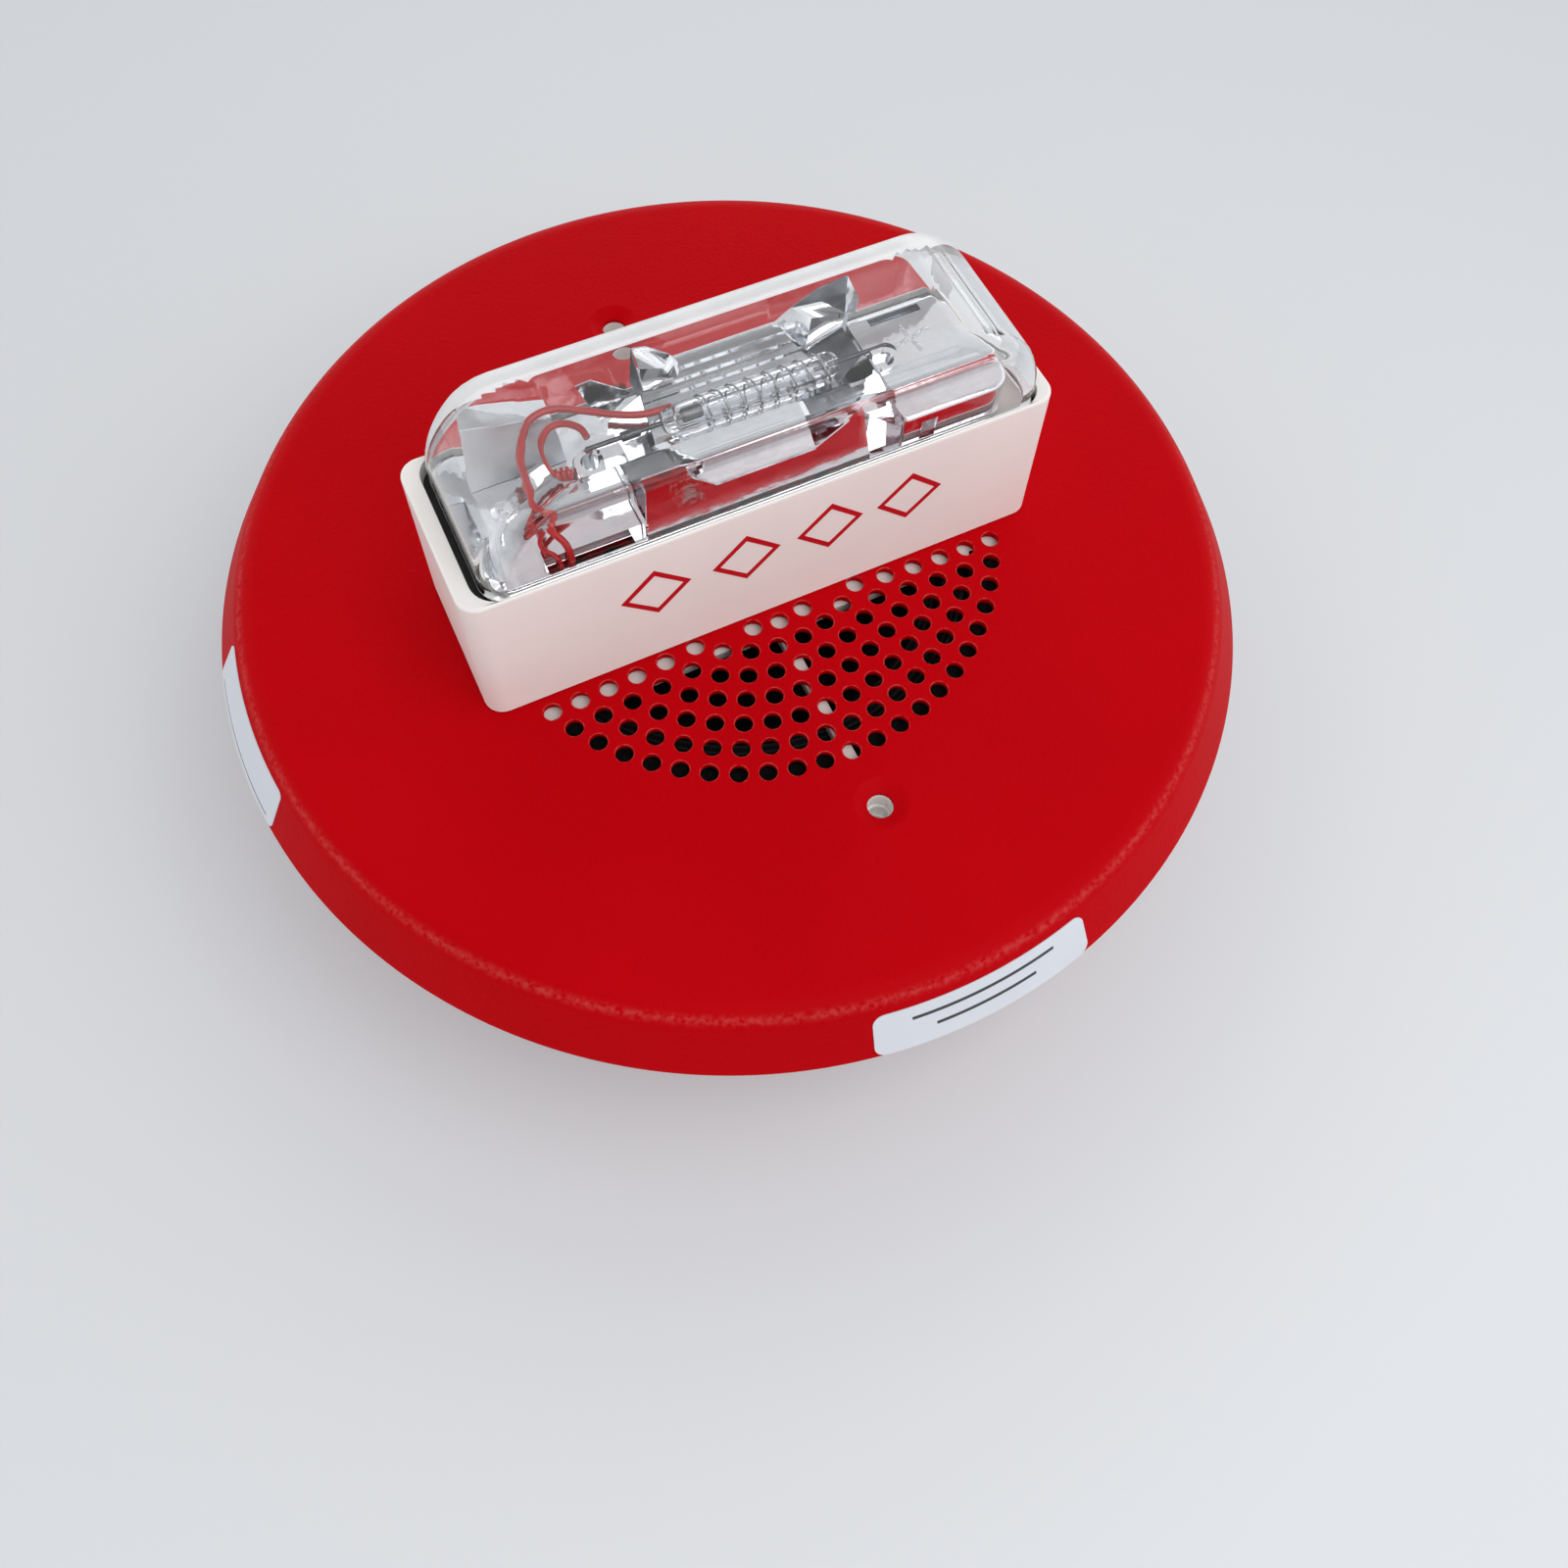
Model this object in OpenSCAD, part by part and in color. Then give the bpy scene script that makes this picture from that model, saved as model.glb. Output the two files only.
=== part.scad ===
// Round ceiling horn strobe: a dished faceplate with a perforated grille, a strobe module across its
// front, and a cone driver, line transformer and terminal board behind it.
// Origin: centre of the rim's back edge, where the faceplate meets the ceiling. +Z points out of the
// front face, +X along the strobe module.

/* [Faceplate] */
// Outer radius of the rim at its back edge
rim_r = 101.6; // [100:0.2:110]
// Depth from the front face to the rim's back edge
dish_h = 11.5; // [11:0.1:13]
// Radius where the front face turns down into the sloping rim
shoulder_r = 94.6; // [90:0.2:96]
// Radius of the rounded shoulder
shoulder_round = 6; // [4:0.5:8]
// Wall thickness of the faceplate
skin = 2.2; // [1.8:0.1:2.4]

/* [Grille] */
// Distance between neighbouring rings of holes
ring_pitch = 5.03; // [4.6:0.01:5.1]
// Number of rings
rings = 10; // [6:1:10]
// Radius of one hole
hole_r = 1.5; // [1:0.1:1.8]
// Half width of the band under the strobe module that has no holes
plain_band = 18; // [18:0.5:22]

/* [Fixing screws] */
// Distance of each fixing hole from the centre
fixing_y = 61.7; // [60:0.1:66]
// Radius of the clearance hole for the fixing screw
fixing_r = 1.9; // [1.8:0.05:2]

/* [Strobe module] */
// Length of the bezel along its top edge
bezel_l = 110.4; // [108:0.2:112]
// Width of the bezel along its top edge
bezel_w = 33.1; // [33:0.1:34]
// Height of the bezel above the faceplate
bezel_h = 32; // [31:0.5:33]
// Height of the lens above the bezel's edge
lens_h = 16.5; // [16:0.1:17]
// Wall thickness of the lens
lens_wall = 2; // [1.6:0.1:2.2]

/* [Driver] */
// Outer radius of the driver's basket
basket_r = 50.8; // [50:0.1:51]
// Radius of the magnet
magnet_r = 30; // [28:0.5:31]
// Radius of the pole that the voice coil moves over
pole_r = 9.4; // [9.2:0.05:9.5]

/* [Selectors] */
// Distance between two stops of a slide switch
stop_pitch = 2.5; // [2:0.1:2.6]

/* [Hidden] */
$fn = 48;

// heights of the main planes, from the ceiling plane
face_z = dish_h;
inner_z = face_z - skin;
bridge_top = inner_z - 0.1;
bridge_t = 2.4;
bridge_z = bridge_top - bridge_t;
ledge_z = face_z + bezel_h;
deck_z = ledge_z - 1.5;
lens_top = ledge_z + lens_h;
tube_z = ledge_z + 6.8;
board_z = 28;
board_t = 1.6;

// the strobe module's places along X
bezel_left = -55;
bezel_right = bezel_left + bezel_l;
bezel_draft_end = 1.3;
bezel_draft_side = 0.65;
bezel_wall = 2;
lens_left = -50.7;
lens_right = 52.7;
lens_w = 31.6;
bezel_screw_at = [50, 10.5];
lead_slot_x = -52.8;

// driver, below the ceiling plane
flange_z = 4.2;
plate_front_z = -17;
front_plate_t = 4;
magnet_t = 9;
yoke_t = 4;
magnet_z = plate_front_z - front_plate_t - magnet_t;
yoke_z = magnet_z - yoke_t;
ear_r = 57.8;
spider_z = -10;

// rear carrier and its boards
saddle_t = 2.7;
saddle_z = yoke_z - 0.3 - saddle_t;
rear_board_z = saddle_z - 4 - board_t;
rear_end_z = -56;
block_x = -44.5;
block_w = 12;
poles = 6;
pole_pitch = 8.2;
switch_h = 4.6;
knob_l = 2.4;
board_hole_at = [[-29, -26.5], [-29, 26.5], [-10.5, -26.5], [-10.5, 26.5]];
transformer_x = 25;

// smooth round tube along a list of points
function unit(v) = v / norm(v);
function along(p, i) = unit(p[min(i + 1, len(p) - 1)] - p[max(i - 1, 0)]);
function across(d) = unit(cross(d, abs(d.y) < 0.8 ? [0, 1, 0] : [1, 0, 0]));
function curve(p, steps) = [for (i = [0:len(p) - 2], s = [0:steps - 1])
  let (t = s / steps, a = p[max(i - 1, 0)], b = p[i], c = p[i + 1], e = p[min(i + 2, len(p) - 1)])
  0.5 * (2 * b + (c - a) * t + (2 * a - 5 * b + 4 * c - e) * t * t
    + (3 * b - a - 3 * c + e) * t * t * t), p[len(p) - 1]];
module tube_along(p, r, sides = 8) {
  rows = [for (i = [0:len(p) - 1]) let (d = along(p, i), u = across(d), v = cross(d, u))
    [for (k = [0:sides - 1]) p[i] + r * (cos(360 * k / sides) * u + sin(360 * k / sides) * v)]];
  last = len(p) - 1;
  polyhedron(
    points = [for (row = rows) each row],
    faces = concat(
      [[for (k = [0:sides - 1]) k]],
      [for (i = [0:last - 1], k = [0:sides - 1]) let (n = (k + 1) % sides)
        [i * sides + k, (i + 1) * sides + k, (i + 1) * sides + n]],
      [for (i = [0:last - 1], k = [0:sides - 1]) let (n = (k + 1) % sides)
        [i * sides + k, (i + 1) * sides + n, i * sides + n]],
      [[for (k = [sides - 1:-1:0]) last * sides + k]]));
}

// flat rectangle with round corners
module rounded_rect(x0, x1, y0, y1, r) {
  translate([x0 + r, y0]) square([x1 - x0 - 2 * r, y1 - y0]);
  translate([x0, y0 + r]) square([x1 - x0, y1 - y0 - 2 * r]);
  for (x = [x0 + r, x1 - r], y = [y0 + r, y1 - r]) translate([x, y]) circle(r);
}
// block between two corners
module block(a, b) {
  translate(a) cube(b - a);
}
// one screw with its head at z 0, pointing up; the head hangs below
module pan_screw(r, length, head_r, head_h) {
  cylinder(r = r, h = length);
  difference() {
    translate([0, 0, -head_h]) cylinder(r = head_r, h = head_h);
    for (a = [0, 90]) rotate(a)
      translate([-head_r * 0.62, -0.35, -head_h - 0.1]) cube([head_r * 1.24, 0.7, head_h * 0.55 + 0.1]);
  }
}

// ---- faceplate ----
slope_run = rim_r - shoulder_r;
slope_angle = atan2(dish_h, slope_run);
function shoulder(r, inset) = let (
    t = shoulder_round * tan(slope_angle / 2),
    c = [shoulder_r - t, face_z - shoulder_round])
  [for (i = [0:8]) let (a = 90 - slope_angle * i / 8) c + (r - inset) * [cos(a), sin(a)]];
module dish() {
  foot = skin / sin(slope_angle);
  rotate_extrude($fn = 180) polygon(concat(
    [[0, face_z]], shoulder(shoulder_round, 0), [[rim_r, 0], [rim_r - foot, 0]],
    [for (i = [8:-1:0]) shoulder(shoulder_round, skin)[i]], [[0, inner_z]]));
}
module grille_holes() {
  for (n = [1:rings], k = [0:6 * n - 1]) {
    a = 360 * k / (6 * n);
    y = n * ring_pitch * sin(a);
    if (abs(y) > plain_band) translate([n * ring_pitch * cos(a), y]) circle(hole_r, $fn = 24);
  }
}
module lead_slot(z0, z1) {
  translate([lead_slot_x, 0, z0]) linear_extrude(z1 - z0) {
    square([2.4, 5], center = true);
    for (y = [-2.5, 2.5]) translate([0, y]) circle(1.2);
  }
}
module faceplate() color([0.72, 0.03, 0.05]) difference() {
  union() {
    dish();
    for (a = [45:90:315]) rotate(a) translate([ear_r, 0, 5.4]) cylinder(r = 3.5, h = inner_z - 5.3);
  }
  translate([0, 0, inner_z - 1]) linear_extrude(skin + 2) grille_holes();
  for (y = [-fixing_y, fixing_y]) translate([0, y, 0]) {
    translate([0, 0, inner_z - 1]) cylinder(r = 2.4, h = skin + 2);
    translate([0, 0, face_z - 1.3]) cylinder(r1 = 2.4, r2 = 4.7, h = 1.3 + 0.001);
  }
  for (x = [-1, 1], y = [-1, 1]) translate([x * bezel_screw_at.x, y * bezel_screw_at.y, inner_z - 1])
    cylinder(r = 1.7, h = skin + 2);
  lead_slot(inner_z - 1, face_z + 1);
  for (a = [45:90:315]) rotate(a) translate([ear_r, 0, 5]) cylinder(r = 1.45, h = 5);
}
// blank stickers on the sloping rim: [first angle, swept angle]
module rim_labels() color("white") for (s = [[170, 19], [258.5, 24]]) rotate(s[0])
  rotate_extrude(angle = s[1], $fn = 180) {
    d = unit([slope_run, -dish_h]);
    out = [-d.y, d.x];
    a = [shoulder_r, face_z] + d * 4 + out * 0.03;
    b = a + d * 7.4;
    polygon([a, b, b + out * 0.15, a + out * 0.15]);
  }

// ---- strobe module ----
module bezel_form(inset, top) {
  hull() for (end = [0, 1]) {
    z = end == 0 ? face_z + 0.1 : top;
    f = (ledge_z - z) / bezel_h;
    translate([0, 0, z - (end == 1 ? 0.01 : 0)]) linear_extrude(0.01) {
      dx = bezel_draft_end * f - inset;
      dy = bezel_draft_side * f - inset;
      rounded_rect(bezel_left - dx, bezel_right + dx, -bezel_w / 2 - dy, bezel_w / 2 + dy, 3.6 - inset / 2,
        $fn = 32);
    }
  }
}
module strobe_bezel() color([0.93, 0.91, 0.86]) difference() {
  union() {
    difference() {
      bezel_form(0, ledge_z);
      translate([0, 0, -0.2]) bezel_form(bezel_wall, deck_z - bezel_wall);
    }
    for (x = [-1, 1], y = [-1, 1]) translate([x * bezel_screw_at.x, y * bezel_screw_at.y, face_z + 0.1])
      cylinder(r = 3.2, h = 14);
    // ribs that join the screw bosses to the walls
    for (x = [-1, 1], y = [-1, 1]) translate([x * bezel_screw_at.x, y * bezel_screw_at.y, face_z + 0.1]) {
      translate([x * 3.4, 0, 7]) cube([3.4, 1.6, 14], center = true);
      translate([0, y * 3.9, 7]) cube([1.6, 3.4, 14], center = true);
    }
  }
  // seat for the lens
  translate([0, 0, deck_z]) linear_extrude(3)
    rounded_rect(lens_left - 0.35, lens_right + 0.35, -lens_w / 2 - 0.35, lens_w / 2 + 0.35, 4.6);
  // opening that the reflector's posts and the leads pass through
  translate([0, 0, deck_z - 5]) linear_extrude(8) rounded_rect(-45.5, 42.5, -12.2, 12.2, 2);
  for (x = [-1, 1], y = [-1, 1]) translate([x * bezel_screw_at.x, y * bezel_screw_at.y, face_z - 1])
    cylinder(r = 1.35, h = 12);
}
// outline of the lens seen from the side: straight at the foot, quarter round at both ends
module lens_side(inset) {
  r = lens_h - inset;
  z0 = deck_z + 0.15;
  translate([lens_left + inset, z0]) square([lens_right - lens_left - 2 * inset, ledge_z - z0]);
  translate([lens_left + lens_h, ledge_z - 0.1])
    square([lens_right - lens_left - 2 * lens_h, r + 0.1]);
  for (x = [lens_left + lens_h, lens_right - lens_h]) translate([x, ledge_z]) intersection() {
    circle(r, $fn = 96);
    translate([-r, -0.1]) square([2 * r, r + 1]);
  }
}
module lens_form(inset) intersection() {
  half = lens_w / 2 - inset;
  edge = 4.2 - inset;
  translate([0, 50, 0]) rotate([90, 0, 0]) linear_extrude(100) lens_side(inset);
  translate([0, 0, deck_z]) linear_extrude(30)
    rounded_rect(lens_left + inset, lens_right - inset, -half, half, 4.4 - inset);
  translate([lens_left, 0, 0]) rotate([90, 0, 90]) linear_extrude(lens_right - lens_left) {
    translate([-half, deck_z - 1]) square([2 * half, lens_h + 2.5 - inset - edge]);
    rounded_rect(-half, half, deck_z, lens_top - inset, edge);
  }
}
module strobe_lens() color([0.85, 0.88, 0.9, 0.35]) difference() {
  lens_form(0);
  translate([0, 0, -0.01]) lens_form(lens_wall);
  translate([0, 0, deck_z - 0.2]) linear_extrude(1.7) rounded_rect(lens_left + lens_wall,
    lens_right - lens_wall, -lens_w / 2 + lens_wall, lens_w / 2 - lens_wall, 4.4 - lens_wall);
}

// metallised reflector: floor, trough for the tube, end plates, upright fins and board posts
floor_z = deck_z + 0.1;
floor_t = 1;
trough_z = ledge_z + 3.3;
wing_z = ledge_z + 7;
plate_z = ledge_z + 6;
module fin_along(outline, y) {
  translate([0, y + 0.9, 0]) rotate([90, 0, 0]) linear_extrude(0.9) polygon(outline);
}
module fin_across(outline, x) {
  translate([x, 0, 0]) rotate([90, 0, 90]) linear_extrude(0.9) polygon(outline);
}
module trough() {
  // cross-section: flat front wing, shallow curved back wing and two skirts
  back = [for (i = [0:8]) let (y = 1 + 11 * i / 8) [y, trough_z + 3.9 * pow((y - 1) / 11, 1.6)]];
  translate([-13, 0, 0]) rotate([90, 0, 90]) linear_extrude(32) polygon(concat(
    [[-13, floor_z], [-13, wing_z], [-1.5, trough_z]], back,
    [[12, floor_z], [11.2, floor_z]],
    [for (i = [8:-1:0]) back[i] - [0, 1] - (i == 8 ? [0.8, 0] : [0, 0])],
    [[-1.5, trough_z - 1], [-12.2, wing_z - 1.4], [-12.2, floor_z]]));
}
module reflector() color([0.85, 0.86, 0.88]) difference() {
  union() {
    translate([0, 0, floor_z]) linear_extrude(floor_t) rounded_rect(-48, 45, -13.5, 13.5, 2.5);
    trough();
    // right end plate with its drop front and back
    translate([0, 0, plate_z - 1.1]) linear_extrude(1.1) rounded_rect(24.5, 46, -13.2, 8, 4);
    block([24.5, -13.2, floor_z], [42, -12.3, plate_z - 0.5]);
    block([24.5, 7.1, floor_z], [42, 8, plate_z - 0.5]);
    block([24.5, -12.5, floor_z], [25.4, 7.5, plate_z - 0.5]);
    // left platform and the block behind it
    block([-40, -13.2, floor_z], [-22.5, -12.3, floor_z + 3]);
    block([-40, -12.8, floor_z + 2], [-22.5, 3, floor_z + 3]);
    block([-43, 6, floor_z], [-27.5, 13.2, ledge_z + 10]);
    // holders of the tube's two ends
    translate([0, 0, floor_z]) linear_extrude(tube_z - 1.5 - floor_z) rounded_rect(-29, -20.5, -4.2, 1.6, 2);
    // upright fins at the two ends of the trough
    fin_along([[14, trough_z], [14, wing_z - 0.6], [27, ledge_z + 13.6], [29, plate_z], [27, floor_z]], 11.1);
    fin_across([[11.9, floor_z], [11.9, ledge_z + 12.6], [2, plate_z + 0.5], [2, floor_z]], 27);
    fin_along([[-13.5, floor_z], [-13.5, ledge_z + 13.2], [-5, wing_z - 0.6], [-5, floor_z]], 11.1);
    fin_across([[11.9, floor_z], [11.9, ledge_z + 13.2], [4, trough_z + 1], [4, floor_z]], -13.9);
    fin_along([[17.6, floor_z], [18.6, plate_z], [27, plate_z], [24.6, floor_z]], -13.2);
    // posts that hold the strobe board
    for (x = [-36, 36]) translate([x, 0, board_z + board_t + 0.1])
      cylinder(r = 3, h = floor_z + 0.5 - board_z - board_t - 0.1);
  }
  // slots for the leads, and the holes in the holder and the posts
  block([-38.5, -11.8, floor_z - 1], [-24, -9.6, floor_z + 4]);
  block([28, -11.8, floor_z - 1], [31.5, -8, plate_z + 1]);
  block([28.5, 5.2, plate_z - 2], [38.5, 6.6, plate_z + 1]);
  translate([-26.3, -1, floor_z + 2]) cylinder(r = 1.4, h = 12);
  for (x = [-36, 36]) translate([x, 0, board_z]) cylinder(r = 1.25, h = 9);
}
module reflector_screws() color("silver") for (x = [-36, 36]) translate([x, 0, board_z - 0.05])
  pan_screw(1.2, 9, 2.6, 1.6);

// xenon tube: glass envelope with a hollow bore and a hole for each pin
module flash_tube() color([0.8, 0.85, 0.9, 0.5]) translate([-13, 0, tube_z]) rotate([0, 90, 0])
  rotate_extrude() polygon([[0.45, 0], [1.4, 0], [2.2, 1.2], [2.2, 30.8], [1.4, 32], [0.45, 32],
    [0.45, 30], [1.6, 29.2], [1.6, 2.8], [0.45, 2]]);
module tube_electrodes() color([0.35, 0.35, 0.37]) translate([0, 0, tube_z]) rotate([0, 90, 0]) {
  translate([0, 0, -26.5]) cylinder(r = 0.4, h = 17);
  translate([0, 0, -9.6]) cylinder(r = 1.2, h = 3.6);
  translate([0, 0, 15]) cylinder(r = 0.4, h = 14);
}
// fine wire wound round the glass, then led down to the trigger coil
trigger_turns = 10;
module trigger_wire() color([0.75, 0.75, 0.77]) {
  first = -5;
  last = 17;
  r = 2.5;
  tube_along([for (i = [0:12 * trigger_turns]) let (a = 30 * i)
    [first + (last - first) * i / (12 * trigger_turns), r * cos(a), tube_z + r * sin(a)]], 0.18, 6);
}
// insulated leads of the tube, from its ends down through the reflector's slot
lead_a = [[-14.4, -0.9, tube_z + 1.4], [-19, 0.4, tube_z + 1.4], [-25, 2.6, tube_z + 0.8],
  [-31.5, 3.6, tube_z - 0.6], [-35.5, 3, tube_z - 1.6], [-38.4, 0, tube_z - 2.4],
  [-39.4, -4.5, tube_z - 3], [-38, -9, tube_z - 3.2], [-36, -10.7, tube_z - 5.5],
  [-35.6, -10.7, tube_z - 9], [-35.6, -9, tube_z - 14], [-36.5, -8, board_z + board_t + 0.2]];
lead_b = [[-30.2, -2, tube_z - 3], [-31.2, -2.6, tube_z - 3.2], [-33.4, -2, tube_z - 3],
  [-34.4, 0.6, tube_z - 2.4], [-33, 3, tube_z - 2.4], [-29.8, 3.4, tube_z - 2.6],
  [-26.2, 2.8, tube_z - 2.5]];
lead_c = [[-27, -5.1, tube_z - 4.5], [-29.5, -6.6, tube_z - 4.2], [-32, -8.2, tube_z - 3.9],
  [-33, -10.3, tube_z - 4.8], [-33, -10.7, tube_z - 9], [-32.5, -9, tube_z - 14],
  [-32, -8, board_z + board_t + 0.2]];
module tube_leads() color([0.78, 0.06, 0.05]) {
  tube_along(curve(lead_a, 4), 0.62);
  tube_along(curve(lead_b, 4), 0.8);
  tube_along(curve(lead_c, 4), 0.4);
}

// strobe circuit board under the reflector, parts on its lower side
module strobe_board() color([0.05, 0.3, 0.15]) difference() {
  block([-47.5, -13, board_z], [47.5, 13, board_z + board_t]);
  for (x = [-36, 36]) translate([x, 0, board_z - 1]) cylinder(r = 1.4, h = 4);
}
cap_r = 7.4;
module flash_capacitor() color([0.12, 0.12, 0.14]) translate([-22, 4.6, board_z - cap_r - 0.1])
  rotate([0, 90, 0]) {
    cylinder(r = cap_r, h = 2);
    translate([0, 0, 2]) cylinder(r = cap_r - 0.5, h = 1);
    translate([0, 0, 3]) cylinder(r = cap_r, h = 29);
  }
module trigger_coil() color([0.8, 0.75, 0.6]) translate([16, -7.5, board_z - 5]) rotate([0, 90, 0]) {
  cylinder(r = 3.2, h = 14);
  for (x = [0, 12.5]) translate([0, 0, x]) cylinder(r = 4.6, h = 1.5);
}
module boost_inductor() color([0.25, 0.25, 0.27]) translate([24, 5, board_z - 10.1]) {
  for (z = [0, 8.4]) translate([0, 0, z]) cylinder(r = 6, h = 1.6);
  translate([0, 0, 1]) cylinder(r = 4.4, h = 8);
}
module strobe_board_parts() color([0.1, 0.1, 0.1]) {
  block([-20, -11.5, board_z - 4.1], [-10, -7, board_z - 0.1]);
  block([-4, -11, board_z - 2.1], [5, -5.5, board_z - 0.1]);
  for (x = [9, 12]) translate([x, -10.5, board_z - 1.5]) rotate([-90, 0, 0]) cylinder(r = 1.3, h = 5);
  block([-32, -11, board_z - 6.1], [-26, -6, board_z - 0.1]);
  translate([-30, 6.5, board_z - 8.1]) cylinder(r = 3, h = 8);
}

// ---- bridge behind the faceplate ----
module mounting_bridge() color([0.93, 0.93, 0.9]) difference() {
  union() {
    translate([0, 0, bridge_z]) linear_extrude(bridge_t) {
      rounded_rect(-57, 57, -20.8, 20.8, 4);
      square([2.2, 2 * fixing_y - 6], center = true);
    }
    for (y = [-fixing_y, fixing_y]) translate([0, y, 1]) cylinder(r = 4.2, h = bridge_top - 1);
  }
  for (y = [-fixing_y, fixing_y]) translate([0, y, 0]) {
    cylinder(r = fixing_r, h = 20);
    translate([0, 0, 5.6]) cylinder(r = 2.3, h = 10);
  }
  for (x = [-1, 1], y = [-1, 1]) translate([x * bezel_screw_at.x, y * bezel_screw_at.y, bridge_z - 0.01]) {
    cylinder(r = 1.7, h = 5);
    cylinder(r1 = 3.1, r2 = 1.7, h = 1.5);
  }
  lead_slot(bridge_z - 1, bridge_top + 1);
}
module bezel_screws() color("silver") for (x = [-1, 1], y = [-1, 1])
  translate([x * bezel_screw_at.x, y * bezel_screw_at.y, bridge_z]) difference() {
    union() {
      translate([0, 0, 0.05]) cylinder(r1 = 2.95, r2 = 1.3, h = 1.7);
      cylinder(r = 1.3, h = 14);
    }
    for (a = [0, 90]) rotate(a) translate([-1.6, -0.35, -0.1]) cube([3.2, 0.7, 1.1]);
  }
// black foam ring between the driver's flange and the faceplate, cut away round the bridge
module grille_gasket() color([0.07, 0.07, 0.07]) difference() {
  translate([0, 0, flange_z + 1.1]) cylinder(r = basket_r - 0.2, h = inner_z - flange_z - 1.2, $fn = 120);
  translate([0, 0, flange_z]) cylinder(r = 46.4, h = 10, $fn = 120);
  block([-70, -21.2, flange_z], [70, 21.2, 20]);
  block([-1.6, -70, flange_z], [1.6, 70, 20]);
}

// ---- driver ----
module driver_basket() color([0.55, 0.56, 0.58]) difference() {
  union() {
    rotate_extrude($fn = 120) polygon([[15, plate_front_z], [28.5, plate_front_z],
      [29.5, spider_z - 1], [33.5, spider_z - 1], [45.6, flange_z], [basket_r, flange_z],
      [basket_r, flange_z + 1], [45.1, flange_z + 1], [33, spider_z], [28.6, spider_z],
      [27.6, plate_front_z + 1], [15, plate_front_z + 1]]);
    for (a = [45:90:315]) rotate(a) difference() {
      translate([ear_r - 9, 0, flange_z]) {
        translate([0, -5, 0]) cube([9, 10, 1]);
        translate([9, 0, 0]) cylinder(r = 5, h = 1);
      }
      translate([0, 0, flange_z - 1]) cylinder(r = basket_r - 1, h = 3);
    }
  }
  for (a = [45:90:315]) rotate(a) translate([ear_r, 0, 0]) cylinder(r = 1.9, h = 10);
  // four windows between the spokes
  for (a = [0:90:270]) rotate(a) translate([0, 0, -14]) linear_extrude(17) intersection() {
    difference() {
      circle(44.4, $fn = 120);
      circle(34.6, $fn = 120);
    }
    polygon([[0, 0], [70, -44], [70, 44]]);
  }
}
// pleated cloth edge, from the flange down to the cone
module cone_surround() color([0.12, 0.11, 0.11]) rotate_extrude($fn = 120) {
  pleat = [for (i = [0:24]) let (t = i / 24) [38.2 + 7 * t, 3.2 + 2.1 * t + 0.7 * sin(900 * t)]];
  polygon(concat(pleat, [for (i = [24:-1:0]) pleat[i] + [0, 0.4]]));
}
module driver_cone() color([0.1, 0.1, 0.1]) rotate_extrude($fn = 120) {
  wall = [for (i = [0:8]) let (t = i / 8) [10.1 + 28 * t, -8.2 + 11.2 * pow(t, 1.15)]];
  polygon(concat(wall, [for (i = [8:-1:0]) wall[i] + [0, 0.5]]));
}
module dust_cap() color([0.1, 0.1, 0.1]) rotate_extrude($fn = 96) {
  dome = [for (i = [0:8]) let (a = 90 - 42 * i / 8) [16.2 * cos(a), -18.4 + 16.2 * sin(a)]];
  polygon(concat(dome, [for (i = [8:-1:0]) dome[i] + [0, 0.5]]));
}
module coil_former() color([0.75, 0.6, 0.35]) translate([0, 0, -20.5]) difference() {
  cylinder(r = 9.9, h = 12.6, $fn = 96);
  translate([0, 0, -1]) cylinder(r = 9.72, h = 15, $fn = 96);
}
module voice_coil() color([0.7, 0.38, 0.18]) translate([0, 0, -21]) difference() {
  cylinder(r = 10.2, h = 6, $fn = 96);
  translate([0, 0, -1]) cylinder(r = 9.95, h = 8, $fn = 96);
}
// corrugated cloth disc that centres the coil
module spider() color([0.75, 0.55, 0.2]) rotate_extrude($fn = 120) {
  inner = 10.3;
  crest = 17.8;
  wave = [for (i = [0:40]) let (t = i / 40)
    [inner + crest * t, spider_z - 2.4 + 2.45 * t + 0.7 * sin(1800 * t)]];
  rim = [[31, spider_z + 0.05]];
  outline = concat(wave, rim);
  polygon(concat(outline, [for (i = [len(outline) - 1:-1:0]) outline[i] + [0, 0.35]]));
}
module front_plate() color([0.6, 0.6, 0.62])
  translate([0, 0, plate_front_z - front_plate_t]) difference() {
    cylinder(r = magnet_r - 3, h = front_plate_t - 0.05, $fn = 96);
    translate([0, 0, -1]) cylinder(r = 10.55, h = front_plate_t + 2, $fn = 96);
  }
module ring_magnet() color([0.2, 0.2, 0.21]) translate([0, 0, magnet_z]) difference() {
  cylinder(r = magnet_r, h = magnet_t - 0.05, $fn = 96);
  translate([0, 0, -1]) cylinder(r = 14, h = magnet_t + 2, $fn = 96);
}
module pole_yoke() color([0.6, 0.6, 0.62]) difference() {
  union() {
    translate([0, 0, yoke_z]) cylinder(r = magnet_r - 3, h = yoke_t - 0.05, $fn = 96);
    translate([0, 0, yoke_z]) cylinder(r = pole_r, h = plate_front_z - yoke_z, $fn = 96);
  }
  translate([0, 0, yoke_z - 1]) cylinder(r = 1.65, h = 10);
}
// tag strip on one spoke, with two solder lugs
strip_a = 135;
module driver_terminals() color([0.45, 0.28, 0.12]) rotate(strip_a) translate([45.4, 0, 0]) {
  block([0, -5.5, -3.8], [1.2, 5.5, 3.8]);
  for (y = [-3.2, 3.2]) block([1.2, y - 1, -3.4], [3.4, y + 1, -2.8]);
}
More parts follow.
